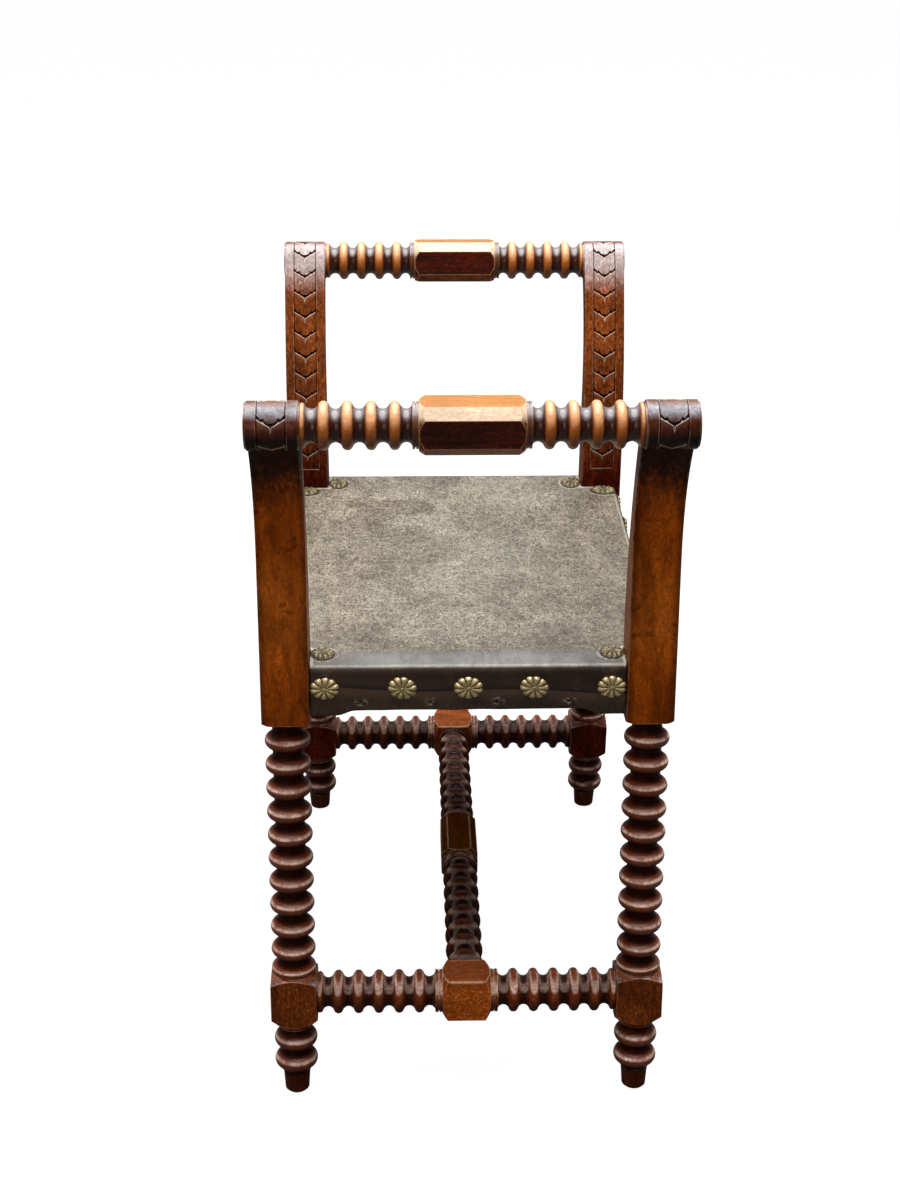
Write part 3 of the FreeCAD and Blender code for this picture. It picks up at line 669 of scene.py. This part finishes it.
def seat_colour(shader, hide):
    """The top of the hide: brown and grey, worn pale, veined and cracked. Painted light lies on it
    too: a bluish painted sheen along the near edge, painted shade toward its right side, a lighter
    painted sheen toward the far end, and a painted highlight where it bends over the folds.
    """
    across = abs(shader.x)
    front = shader.y.step(*near_band)
    stained = 0
    for stain in stain_spots:
        spot = spot_distance(shader, shader.x, shader.y, stain) + (hide.blotches - 0.5) * 2
        stained = shader.larger(stained, spot.step(1.1, 0.9))
    worn = 0.34 + (hide.blotches + hide.clouds * 0.8).step(0.66, 1.14) * 0.5
    worn = worn * (1 - front * 0.8) * (1 - stained * 0.65)
    reddened = across.step(*red_band) * hide.blotches.step(0.3, 0.55)
    base = shader.laid(hide_brown, (hide.clouds.step(0.45, 0.6), hide_grey), (stained * 0.6, hide_red),
                       (reddened * 0.85, hide_red), (hide.grain.step(0.52, 0.38) * 0.45, hide_dark),
                       (hide.grain.step(0.48, 0.64) * worn, hide_pale),
                       (hide.veins.lines(0.026, 0.006) * worn * 0.85, hide_hair),
                       (hide.hair * worn * 0.85, hide_hair))
    for stretch in crack_stretches:
        crack = shader.noise(70, 3, 0.55, 1.2, stretch=stretch).lines(0.018, 0.006)
        crack *= hide.grain.step(0.42, 0.52)
        base = shader.mix(crack * (0.5 - front * 0.35), base, hide_hair)
    tone = 0.65 + hide.clouds.step(0.35, 0.65) * 0.13 + hide.blotches.step(0.38, 0.62) * 0.07
    # Painted shade toward the right side of the seat.
    base = figured(shader, base, tone - shader.x.step(*right_shade_band) * 0.13)
    # A lighter painted sheen toward the far end.
    base = figured(shader, base, 1 + shader.y.step(*far_sheen_band) * 0.2)
    # A bluish painted sheen along the near edge, and a painted highlight where the hide bends over the
    # folds.
    sheen = (0.3 + hide.blotches.step(0.35, 0.6) * 0.3) * (0.4 + across.step(*near_band_sheen))
    fold_highlight = shader.up.step(0.985, 0.93) * shader.up.step(0.6, 0.8) * hide.blotches.step(0.25, 0.6)
    return shader.laid(base, (sheen * front, hide_blue), (fold_highlight * 0.5, hide_rim))


def side_colour(shader, hide):
    """The hanging sides: dark brown, with a crease along the ends and old nail holes. Painted shade
    darkens the crease, and a painted highlight lies just below it.
    """
    wave = shader.math("SINE", shader.x * (1 / crease_pitch))
    above = shader.z - crease_height - wave * crease_wave + shader.x * crease_slope
    on_end = abs(shader.y).step(*end_flap)
    # A painted highlight in a band just below the crease, and painted shade along it.
    below = above.step(*crease_highlight) * above.step(*crease_highlight_end)
    base = shader.laid(side_dark, (hide.clouds.step(0.35, 0.65), side_brown),
                       (hide.blotches.step(0.5, 0.75) * 0.4, side_pale),
                       (hide.hair * shader.z.step(*hem_hairs) * 0.5, side_pale),
                       (below * on_end * 0.5, side_pale),
                       (abs(above).step(*crease_shade_line) * on_end * 0.85, wood_black))
    hole_height = (shader.z - (apron_bottom + hole_rise)) * hole_flatness
    for x in old_holes:
        hole = shader.hypot(shader.x - x, hole_height) + hide.grain * hole_uneven
        lip = hole.step(*hole_lip) * hide.hairs.step(0.53, 0.57)
        base = shader.laid(base, (lip * 0.8, hide_rim), (hole.step(*hole_dark), wood_black))
    return base


def leather():
    """A dark hide, worn and crackled on top, where its edges have gone pale. Its folds carry a painted
    highlight, and a painted shadow lies close round each corner nail.
    """
    shader = Shader("old_leather")
    hide = Hide(shader)
    top = shader.up.step(0.6, 0.9)
    across, along = abs(shader.x), abs(shader.y)
    base = shader.mix(top, side_colour(shader, hide), seat_colour(shader, hide))
    notch = shader.hypot(shader.larger(rail_inner_face - across, 0),
                         shader.larger(reach(-post_half, seat_height) - along, 0))
    rim = (notch + hide.grain * notch_uneven).step(*notch_rim) * top
    base = shader.mix(rim * 0.85, base, hide_rim)
    dents = 0
    for spot in corner_nail_spots():
        near = spot_distance(shader, across, along, spot)
        dent = abs(near - nail_dent).step(0.16, 0.04)
        # A pale ring at each nail's dent, and a painted shadow close round the nail.
        base = shader.laid(base, (dent * top * hide.veins.step(0.46, 0.54) * 0.45, hide_rim),
                           (near.step(1.12, 1.02) * 0.8, hide_dark))
        dents = dent * 2 + dents
    height = hide.grain * 1.2 + hide.hair * 0.5 + dents
    return shader.finish(base, hide.clouds * 0.25 + 0.34, Specular_IOR_Level=0.4,
                         Normal=shader.bump(height, 0.0005, 0.5))


# Jute and metal

seat_nail_darkening = (seat_height - 8, seat_height - 5)


def jute():
    shader = Shader("jute")
    weave = {"Vector": shader.place, "Scale": 160, "Distortion": 0.6}
    threads = shader.larger(*[shader.node("TexWave", weave, 1, bands_direction=axis) for axis in "XY"])
    hairs = shader.noise(900, 3, 0.7)
    base = shader.laid(colour(92, 74, 50), (threads, colour(168, 142, 104)),
                       (hairs * 0.4, colour(118, 96, 66)))
    return shader.finish(base, 0.9, Specular_IOR_Level=0.2,
                         Normal=shader.bump(threads + hairs * 0.4, 0.0005, 0.7))


def brass():
    """The height over the nail's base is kept with each point, and patina fills what lies low."""
    shader = Shader("antique_brass")
    blotch = shader.noise(300, 4, 0.65)
    shine = (shader.kept("rise") + blotch * 0.4).step(0.45, 1.05)
    base = shader.laid(colour(26, 19, 9), (shine, colour(202, 180, 130)),
                       (blotch.step(0.48, 0.66) * 0.6, colour(104, 80, 36)))
    base = figured(shader, base, 1 - shader.z.step(*seat_nail_darkening) * 0.68)
    return shader.finish(base, blotch * 0.25 + 0.3, Metallic=0.45,
                         Normal=shader.bump(blotch, 0.0003, 0.5))


def steel():
    shader = Shader("blued_steel")
    blotch = shader.noise(800, 3, 0.6)
    base = shader.mix(blotch, colour(40, 34, 28), colour(96, 84, 70))
    return shader.finish(base, 0.45, Metallic=0.8, Normal=shader.bump(blotch, 0.0001, 0.4))


# Carved leaves in the channel of each post. Turns are degrees about the scroll's axis.

leaf_first = 17.5
leaf_pitch = 20.97
leaf_count = 11
crown_inner_turn = 93.5
crown_outer_turn = 16.1
last_turn = -49.9
leaf_tip = 4.6
leaf_side = 2.4
leaf_lobe = 0.5
leaf_high = 1.3
leaf_low = 0.2
leaf_bulge = 1.7
leaf_body_rows = 3
leaf_columns = [0, 0.03, 0.06, 0.1, 0.16, 0.24, 0.33, 0.42, 0.5, 0.58, 0.68, 0.78, 0.87, 0.92, 0.95, 1]
cut_drop = 3
cut_stem = 4.6
stem_share = 0.07
cut_side = 3
cut_dark = 2.4
cut_lip = 0.3
cut_rise = 0.1
leaf_groove = 0.12
carving_sunk = 0.3
carving_gap = 0.2


def sweep_radius():
    out = post_half + scroll_reach
    rise = scroll_height - arm_sweep_start
    return (out ** 2 + rise ** 2 - scroll_radius ** 2) / (2 * (out - scroll_radius))


def meeting_turn():
    """Where the arm's inner face runs into the scroll, as an angle about the scroll."""
    centre_y = sweep_radius() - post_half
    return atan2(scroll_height - arm_sweep_start, scroll_reach - centre_y)


def start_turn():
    """Where the channel starts, as an angle about the arm's sweep."""
    return pi - asin((channel_start - arm_sweep_start) / sweep_radius())


def arm_run():
    """Length of the channel's floor line from its foot to the scroll."""
    return sweep_radius() * (start_turn() - meeting_turn())


def run_to(turn_degrees):
    """How far up the channel an angle about the scroll lies."""
    return arm_run() + scroll_radius * (meeting_turn() - radians(turn_degrees))


def channel_point(run, across, height):
    """A point over the channel's floor, in the post's own frame."""
    if run < arm_run():
        radius = sweep_radius()
        turn = start_turn() - run / radius
        y, z = radius - post_half, arm_sweep_start
    else:
        radius = scroll_radius
        turn = meeting_turn() - (run - arm_run()) / radius
        y, z = scroll_reach, scroll_height
    out = radius - channel_depth + height
    return across, y + out * cos(turn), z + out * sin(turn)


def leaf_edge(share):
    """How far a leaf's edge draws back from its tip, at a share of the channel's half width."""
    share = abs(share)
    if share < leaf_lobe:
        return leaf_tip * (share / leaf_lobe) ** 3
    inward = (share - leaf_lobe) / (1 - leaf_lobe)
    return leaf_tip + leaf_side * inward ** 2 - leaf_bulge * sin(pi * min(inward * 1.6, 1))


def leaf_cuts():
    """Where the leaves' tips lie up the channel, each with the way it points."""
    down = [(leaf_first + index * leaf_pitch, -1) for index in range(leaf_count)]
    down.append((run_to(crown_inner_turn), -1))
    return down + [(run_to(crown_outer_turn), 1), (run_to(last_turn), 1)]


def cut_rows(place, way, share):
    """The cut that outlines one leaf at one column: run, height, painted shade, and a worn edge with a
    painted highlight. A steep wall drops from the leaf's edge, and a slope climbs from its foot to a
    ridge shaped like a V, with a short stem at its point. The shade is painted along and below the
    leaf's edge, the worn edge and highlight along the ridge."""
    edge = place - way * leaf_edge(share)
    side = place - way * leaf_edge(1) + way * cut_side
    ridge = between(place + way * cut_drop, side, abs(share))
    ridge += way * cut_stem * max(1 - abs(share) / stem_share, 0)
    wide = abs(ridge - edge)
    dark = min(cut_dark, wide * 0.7)
    rows = [
        (edge, -3 * cut_lip, leaf_high, 0, 0),
        (edge, -2 * cut_lip, leaf_high, 1, 0),
        (edge, 0, leaf_high - cut_lip, 1, 0),
        (edge, cut_lip, leaf_low, 1, 0),
        (edge, dark, between(leaf_low, leaf_high, 0.3), 1, 0),
        (edge, min(dark + cut_lip, wide * 0.85), between(leaf_low, leaf_high, 0.5), 0.1, 0),
        (ridge, -min(cut_lip, wide * 0.1), leaf_high - cut_rise, 0, 0.2),
        (ridge, 0, leaf_high + cut_rise, 0, 1),
        (ridge, 2 * cut_lip, leaf_high, 0, 0.1),
    ]
    return [(start + way * ahead, *told) for start, ahead, *told in rows][::way]


def leaf_rows_at(share):
    """All rows up one column of the channel."""
    end = run_to(-channel_end_turn) - carving_gap
    # A worn line with a painted highlight crosses the foot of the strip; painted shade darkens its top
    # end.
    rows = [(gaps * carving_gap, leaf_high, 0, wear_and_highlight) for gaps, wear_and_highlight in ((1, 1), (3, 1), (5, 0))]
    for place, way in leaf_cuts() + [(end, 0)]:
        ahead = cut_rows(place, way, share) if way else [(end, leaf_high, 0.8, 0)]
        start = rows[-1][0]
        for step in range(1, leaf_body_rows + 1):
            rows.append((between(start, ahead[0][0], step / (leaf_body_rows + 1)), leaf_high, 0, 0))
        rows += ahead
    return rows


def carving_mesh():
    """Points and faces of one strip, with the painted shade of each point and how worn and highlighted
    it is.
    """
    half = channel_width / 2 - carving_gap
    columns = []
    for share in [-share for share in reversed(leaf_columns[1:])] + leaf_columns:
        rows = leaf_rows_at(share)
        rim = smooth(1 - abs(share), 0, leaf_groove)
        rows = [(rows[0][0], -carving_sunk, 1, 0)] + rows + [(rows[-1][0], -carving_sunk, 1, 0)]
        column = []
        for run, height, dark, wear_and_highlight in rows:
            raised = between(min(height, leaf_low), height, rim)
            point = leaned(*channel_point(run, share * half, raised))
            # Painted shade also fills the sunken borders of the channel, where the worn line and
            # highlight fade out.
            column.append((point, max(dark, 1 - rim), wear_and_highlight * rim))
        columns.append(column)
    points, darks, wears_and_highlights = zip(*[told for row in zip(*columns) for told in row])
    return points, grid_faces(len(columns[0]), len(columns)), darks, wears_and_highlights


def carvings(material):
    points, faces, darks, wears_and_highlights = carving_mesh()
    for end, way_y in ends:
        for side, way_x in sides:
            turned = mirrored(points, faces, way_x, way_y)
            piece = make_piece("carving_%s_%s" % (end, side), *turned, material, "post_wood")
            keep_values(piece, "dark", darks)
            keep_values(piece, "wear_and_highlight", wears_and_highlights)


# Rosette nails

petals = 10
petal_columns = 8
rosette_rows = (0, 0.07, 0.13, 0.17, 0.22, 0.32, 0.44, 0.56, 0.68, 0.79, 0.88, 0.95, 1)
rosette_dome = 2.6
rosette_rim = 0.9
rosette_swell = 1.5
petal_notch = 0.14
rosette_dot = 0.6
rosette_moat = 0.17
nail_twist = 0.25


def rosette_points():
    """A rosette nail's head at the origin, facing up, and each point's height share."""
    columns = petals * petal_columns
    points, rises = [], []
    for share in rosette_rows:
        grooved = smooth(share, 0.12, 0.3)
        dome = rosette_dome * (1 - share ** 2) * 0.75
        fall = between(0.1, 1, smooth(share, 1, 0.86))
        dot = rosette_dot * smooth(share, 0.14, 0.05)
        dot -= 0.5 * rosette_dot * smooth(abs(share - rosette_moat), 0.05, 0)
        high = between(0.7, 1, smooth(share, 0.2, 0.6)) * smooth(share, 1, 0.93)
        for column in range(columns):
            turn = 2 * pi * column / columns
            inside = (column % petal_columns) / petal_columns
            round_share = sqrt(max(1 - (2 * inside - 1) ** 2, 0))
            radius = rosette_radius * (1 - petal_notch * (1 - round_share)) * share
            swell = rosette_swell * sin(pi * smooth(share, 0.15, 1.25)) * round_share
            body = rosette_rim + dome * between(0.8, 1, round_share) + swell
            z = fall * body * between(1, between(0.45, 1, round_share), grooved) + dot
            points.append((radius * cos(turn), radius * rosette_narrow * sin(turn), z))
            rises.append(high * between(1, min(1.5 * round_share, 1), grooved))
    foot = [(x, y, 0) for x, y, z in points[-columns:]]
    return points + foot, rises + [0] * columns, grid_faces(len(rosette_rows) + 1, columns, True)


def nail_turn(inward, long_way):
    """The rotation that stands a nail on a surface."""
    up = -Vector(inward).normalized()
    side = (Vector(long_way) - up * up.dot(Vector(long_way))).normalized()
    return Matrix((side, up.cross(side), up)).transposed()


def rosette_piece(name, places, material):
    head, rises, faces = rosette_points()
    points, all_faces, all_rises = [], [], []
    for at, inward, long_way in places:
        twist = Matrix.Rotation(random.uniform(-nail_twist, nail_twist), 3, "Z")
        turn = nail_turn(inward, long_way) @ twist
        start = len(points)
        base = Vector(at) - Vector(inward).normalized() * head_gap
        points += [base + turn @ Vector(point) for point in head]
        all_faces += [tuple(start + index for index in face) for face in faces]
        all_rises += rises
    piece = make_piece(name, points, all_faces, material, "nail_brass")
    keep_values(piece, "rise", all_rises)
    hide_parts(name)


def end_rosette_spots():
    last = rail_inner_face - rosette_radius - rosette_gap
    return [share * last for share in end_rosette_shares]


def side_rosette_spots():
    last = reach(-post_half, seat_height - rosette_drop) - rosette_radius - rosette_gap
    return [last * (2 * index / (side_rosette_count - 1) - 1) for index in range(side_rosette_count)]


def corner_nail_spots():
    """The two nails on the seat beside the far right post, with half their width and length."""
    narrow = rosette_radius * rosette_narrow
    beside = narrow + rosette_gap
    end_y = reach(apron_offset, seat_height) - end_corner_inset
    side_y = reach(-post_half, seat_height) - beside
    return ((rail_inner_face - beside, end_y, narrow, rosette_radius),
            (side_apron_x - side_corner_inset, side_y, rosette_radius, narrow))


def rosettes(material):
    random.seed(7)
    height = seat_height - rosette_drop
    for end, way in ends:
        inward = (0, -way * cos(rake), -sin(rake))
        y = way * reach(apron_offset, height)
        places = [((x, y, height), inward, (1, 0, 0)) for x in end_rosette_spots()]
        rosette_piece("rosette_nails_" + end, places, material)
    for side, way in sides:
        places = [((way * side_apron_x, y, height), (-way, 0, 0), (0, 1, 0))
                  for y in side_rosette_spots()]
        rosette_piece("rosette_nails_" + side, places, material)
    places = []
    for way_x in (1, -1):
        for way_y in (1, -1):
            for x, y, half_x, half_y in corner_nail_spots():
                x, y = way_x * x, way_y * y
                slope = Vector((leather_height(x + 1, y) - leather_height(x - 1, y),
                                leather_height(x, y + 1) - leather_height(x, y - 1), -2))
                long_way = (0, 1, 0) if half_y > half_x else (1, 0, 0)
                places.append(((x, y, leather_height(x, y)), slope, long_way))
    rosette_piece("rosette_nails_corners", places, material)


# Leather

near_edge_rise = 1
far_edge_drop = 1.2
leather_step = 4
hem_drop = 5
hem_drop_span = (98, 112)
top_wave = 0.35
side_wave = 0.3
top_wave_size = 55
hem_wave = 0.7
hem_wave_size = 23
side_wave_size = 17
side_wave_height = 14
curl = 1.2
curl_reach = 7
fold_rows = 5
flap_rows = 14
crease_out = 0.6
crease_out_start = 1.6
crease_out_end = 9
crease_in = 0.5
crease_in_drop = 1.2
crease_in_reach = 3
crease_far_shift = 2


def leather_height(x, y):
    """Height of the hide's upper face."""
    deep = reach(apron_offset, seat_height)
    share = y / deep
    edge = seat_height + (near_edge_rise if y < 0 else -far_edge_drop) * share ** 2
    sag = seat_sag * (1 - share ** 2)
    return edge - sag + top_wave * ripple(x, y, top_wave_size, 3.7) * (1 - share ** 4)


def leather_lines(edge, notch):
    """Places across the cut hide from its middle to one fold and down to the hem. Each is a
    place on the plan, a drop over the fold, and how far down the flap it lies."""
    flat = edge - leather_fold
    inner = max(round(notch / leather_step), 1)
    outer = max(round((flat - notch) / leather_step), 1)
    lines = [(notch * index / inner, 0, 0) for index in range(inner)]
    lines += [(between(notch, flat, index / outer), 0, 0) for index in range(outer)]
    for index in range(fold_rows):
        turn = pi / 2 * index / (fold_rows - 1)
        lines.append((flat + leather_fold * sin(turn), leather_fold * (1 - cos(turn)), 0))
    lines += [(edge, leather_fold, (index + 1) / flap_rows) for index in range(flap_rows)]
    return [(-place, drop, down) for place, drop, down in reversed(lines[1:])] + lines


def hem_height(x, y, end):
    low = apron_bottom
    if end:
        low -= hem_drop * smooth(abs(x), *hem_drop_span)
    return low + hem_wave * ripple(x, y, hem_wave_size, 1.3)


def crease(x, z, far):
    """How far an end flap stands out where its upper part has slumped over its lower part."""
    wave = crease_wave * sin(x / crease_pitch + (crease_far_shift if far else 0))
    above = z - (crease_height + wave - crease_slope * x)
    out = smooth(above, 0, crease_out_start) * smooth(above, crease_out_end, crease_out_start)
    return crease_out * out - crease_in * smooth(abs(above + crease_in_drop), crease_in_reach, 0)


def cut_half_length(height):
    """Half the length of a side flap between the posts, at a height."""
    return reach(-post_half - leather_clearance, height)


def leather_point(column, row):
    """A point of the hide's upper face from its line across and its line along."""
    x, drop_x, down_x = column
    y, drop_y, down_y = row
    z = leather_height(x, y) - drop_x - drop_y
    if down_x:
        z = between(z, hem_height(x, y, False), down_x)
    if down_y:
        z = between(z, hem_height(x, y, True), down_y)
    if drop_x:
        y *= cut_half_length(z) / cut_half_length(seat_height)
    if drop_y:
        y += copysign((seat_height - z) * tan(rake), y)
    notch_x, notch_y = rail_inner_face, reach(-post_half, seat_height)
    apart = hypot(max(notch_x - abs(x), 0), max(notch_y - abs(y), 0))
    if not drop_x and not drop_y:
        z += curl * smooth(apart, curl_reach, 0)
    wave = side_wave * ripple(x, y, side_wave_size, z / side_wave_height)
    if down_x:
        x += copysign(wave * smooth(down_x, 0, 0.4), x)
    if down_y:
        y += copysign(wave * smooth(down_y, 0, 0.4) + crease(x, z, row[0] > 0), y)
    return x, y, z


def flat_half(edge, top):
    """The hide's flat length from its middle, over a fold and down to the hem."""
    return edge - leather_fold + leather_fold * pi / 2 + top - leather_fold - apron_bottom


def leather_cover(material):
    """The hide as one grid with its four corners left out."""
    notch_x = rail_inner_face - leather_clearance
    notch_y = cut_half_length(seat_height)
    end_edge = reach(apron_offset, seat_height)
    columns = leather_lines(side_apron_x, notch_x)
    rows = leather_lines(end_edge, notch_y)
    in_x = [abs(place) <= notch_x + tiny for place, drop, down in columns]
    in_y = [abs(place) <= notch_y + tiny for place, drop, down in rows]
    index_of, faces = {}, []
    for i in range(len(columns) - 1):
        for j in range(len(rows) - 1):
            if not (in_x[i] and in_x[i + 1]) and not (in_y[j] and in_y[j + 1]):
                continue
            corners = [(i, j), (i + 1, j), (i + 1, j + 1), (i, j + 1)]
            faces.append([index_of.setdefault(corner, len(index_of)) for corner in corners])
    points = [leather_point(columns[i], rows[j]) for i, j in index_of]
    piece = make_piece("leather_cover", points, faces, material, "leather")
    thicken(piece, leather_thickness, -1)
    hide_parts("leather_cover")
    half_width = flat_half(side_apron_x, seat_height - seat_sag / 2)
    half_length = flat_half(end_edge, seat_height)
    cut_out = 4 * (half_width - notch_x) * (half_length - notch_y)
    2 * half_width * mm
    2 * half_length * mm
    (4 * half_width * half_length - cut_out) * mm ** 2


# Webbing

long_strap_count = 3
cross_strap_count = 5
strap_wave = 0.85
strap_columns = 6
strap_step = 6
weave_blur = 10
weave_gap = 0.15
tack_head = 0.7
tack_clearance = 0.3


def seat_surface(y):
    """Height of the solid seat, which the rails and straps are set under."""
    deep = reach(apron_offset, seat_height)
    radius = (deep ** 2 + seat_sag ** 2) / (2 * seat_sag)
    return seat_height - seat_sag + radius - sqrt(radius ** 2 - y ** 2)


def strap_spots(count, span):
    gap = (2 * span - count * strap_width) / (count + 1)
    return [(gap + strap_width) * (index + 1) - strap_width / 2 - span for index in range(count)]


def strap(name, inner, rail_top, level, crossings, way, place, material):
    """One strap with its ends on two rails, woven over and under what it crosses. It runs along X
    or Y by its way, 0 or 1. Its place is where its middle line lies, and its number."""
    end = inner + strap_lap
    steps = round(2 * end / strap_step)
    points = []
    for index in range(steps + 1):
        along = between(-end, end, index / steps)
        height = between(rail_top, level, smooth(abs(along), inner, inner - strap_slope))
        for number, crossing in enumerate(crossings):
            over = strap_wave if (number + place[1]) % 2 else -strap_wave
            apart = abs(along - crossing)
            height += over * smooth(apart, strap_width / 2 + weave_blur, strap_width / 2 - weave_blur)
        for column in range(strap_columns + 1):
            across = place[0] + strap_width * (column / strap_columns - 0.5)
            points.append((across, along, height) if way == 1 else (along, across, height))
    faces = grid_faces(steps + 1, strap_columns + 1)
    if way == 0:
        faces = [face[::-1] for face in faces]
    piece = make_piece(name, points, faces, material, "webbing")
    thicken(piece, strap_thickness, 0)
    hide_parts(name)
    2 * end * mm


def webbing(material):
    stack = strap_thickness + tack_head + 2 * head_gap + tack_clearance
    hide = leather_thickness + leather_clearance
    end_offset = apron_offset - hide - seat_rail_thickness
    end_top = seat_surface(reach(end_offset, seat_height)) - hide - stack
    level = seat_height - seat_sag - hide
    side_top = level - stack
    end_inner = reach(end_offset, end_top)
    side_inner = side_apron_x - hide - seat_rail_thickness
    long_places = strap_spots(long_strap_count, rail_inner_face)
    cross_places = strap_spots(cross_strap_count, reach(-post_half, side_top))
    middle = level - strap_thickness - weave_gap
    half = strap_thickness / 2
    for index, x in enumerate(long_places):
        strap("webbing_long_%d" % (index + 1), end_inner, end_top + half, middle, cross_places, 1,
              (x, index), material)
    for index, y in enumerate(cross_places):
        strap("webbing_cross_%d" % (index + 1), side_inner, side_top + half, middle, long_places, 0,
              (y, index + 1), material)


# Finishes of the solids that stay

def dress(prefixes, material):
    """Gives a material to the solids whose names start this way."""
    for name, node in frame["nodes"].items():
        if name.startswith(prefixes):
            node.data.materials.clear()
            node.data.materials.append(material)


# Floor, light and camera

floor_half = 12
floor_tone = (0.12, 0.12, 0.12, 1)
floor_glow = 0.95
sky_ahead = (0, 0.55, 0.84)
sky_dim = 0.04
sky_bright = 0.6
sky_tint = (0.93, 0.96, 1, 1)
white = (1, 1, 1, 1)
light_aim = (0, 0, 0.4)


def stage():
    """A floor that is white to the camera, and too dark to light the wood from below."""
    mesh = bpy.data.meshes.new("floor")
    corners = [(x * floor_half, y * floor_half, 0) for x, y in ((-1, -1), (1, -1), (1, 1), (-1, 1))]
    mesh.from_pydata(corners, [], [(0, 1, 2, 3)])
    shader = Shader("floor_white")
    seen = shader.node("LightPath", {}, "Is Camera Ray")
    mesh.materials.append(shader.finish(floor_tone, 0.9, Specular_IOR_Level=0, Emission_Color=white,
                                        Emission_Strength=seen * floor_glow))
    floor = make_object("floor", mesh)


def light(name, place, size, power, tint):
    """A round lamp, placed in metres and aimed at the stool."""
    lamp = bpy.data.lights.new(name, "AREA")
    lamp.shape = "DISK"
    lamp.size = size
    lamp.energy = power
    lamp.color = tint
    thing = make_object(name, lamp)
    thing.location = place
    thing.rotation_mode = "QUATERNION"
    thing.rotation_quaternion = (Vector(light_aim) - Vector(place)).to_track_quat("-Z", "Y")


def world():
    """White to the camera. To the stool, a sky that is bright above and beyond it."""
    made = bpy.data.worlds.new("studio")
    bpy.context.scene.world = made
    nodes = Nodes(made)
    ahead = nodes.dot(nodes.node("TexCoord", {}, "Generated"), sky_ahead).step(0, 1)
    sky = {"Color": sky_tint, "Strength": ahead * (sky_bright - sky_dim) + sky_dim}
    both = {0: nodes.node("LightPath", {}, "Is Camera Ray"),
            1: nodes.node("Background", sky),
            2: nodes.node("Background", {"Color": white})}
    nodes.put(nodes.tree.nodes["World Output"].inputs["Surface"], nodes.node("MixShader", both))


def camera():
    yaw, pitch, roll = [radians(turn) for turn in camera_turns]
    ahead = Vector((sin(yaw), cos(yaw), 0)) * cos(pitch)
    ahead.z = -sin(pitch)
    level = Vector((cos(yaw), -sin(yaw), 0))
    above = level.cross(ahead)
    right = level * cos(roll) + above * sin(roll)
    up = above * cos(roll) - level * sin(roll)
    turn = Matrix((right, up, -ahead)).transposed().to_4x4()
    lens = bpy.data.cameras.new("camera")
    lens.sensor_width = sensor
    lens.lens = camera_focal / picture_height * sensor
    thing = make_object("camera", lens)
    thing.matrix_world = Matrix.Translation(Vector(camera_place) * mm) @ turn
    bpy.context.scene.camera = thing


camera()
stage()
world()
light("overhead", (0, 0.25, 2.45), 2.8, 140, (0.97, 0.98, 1))
light("front", (-1.2, -2.8, 1.3), 2, 16, (1, 0.95, 0.9))

post_material = post_wood()
dress("post_", post_material)
dress("top_rail", top_rail_wood())
dress("cross_stretcher", stretcher_wood("cross_walnut", 0))
dress("long_stretcher", stretcher_wood("long_walnut", 1))
dress("seat_rail", raw_wood())
dress(("webbing_tacks", "hem_tacks"), steel())
carvings(post_material)
rosettes(brass())
leather_cover(leather())
webbing(jute())

bpy.context.scene.view_settings.view_transform = "Standard"
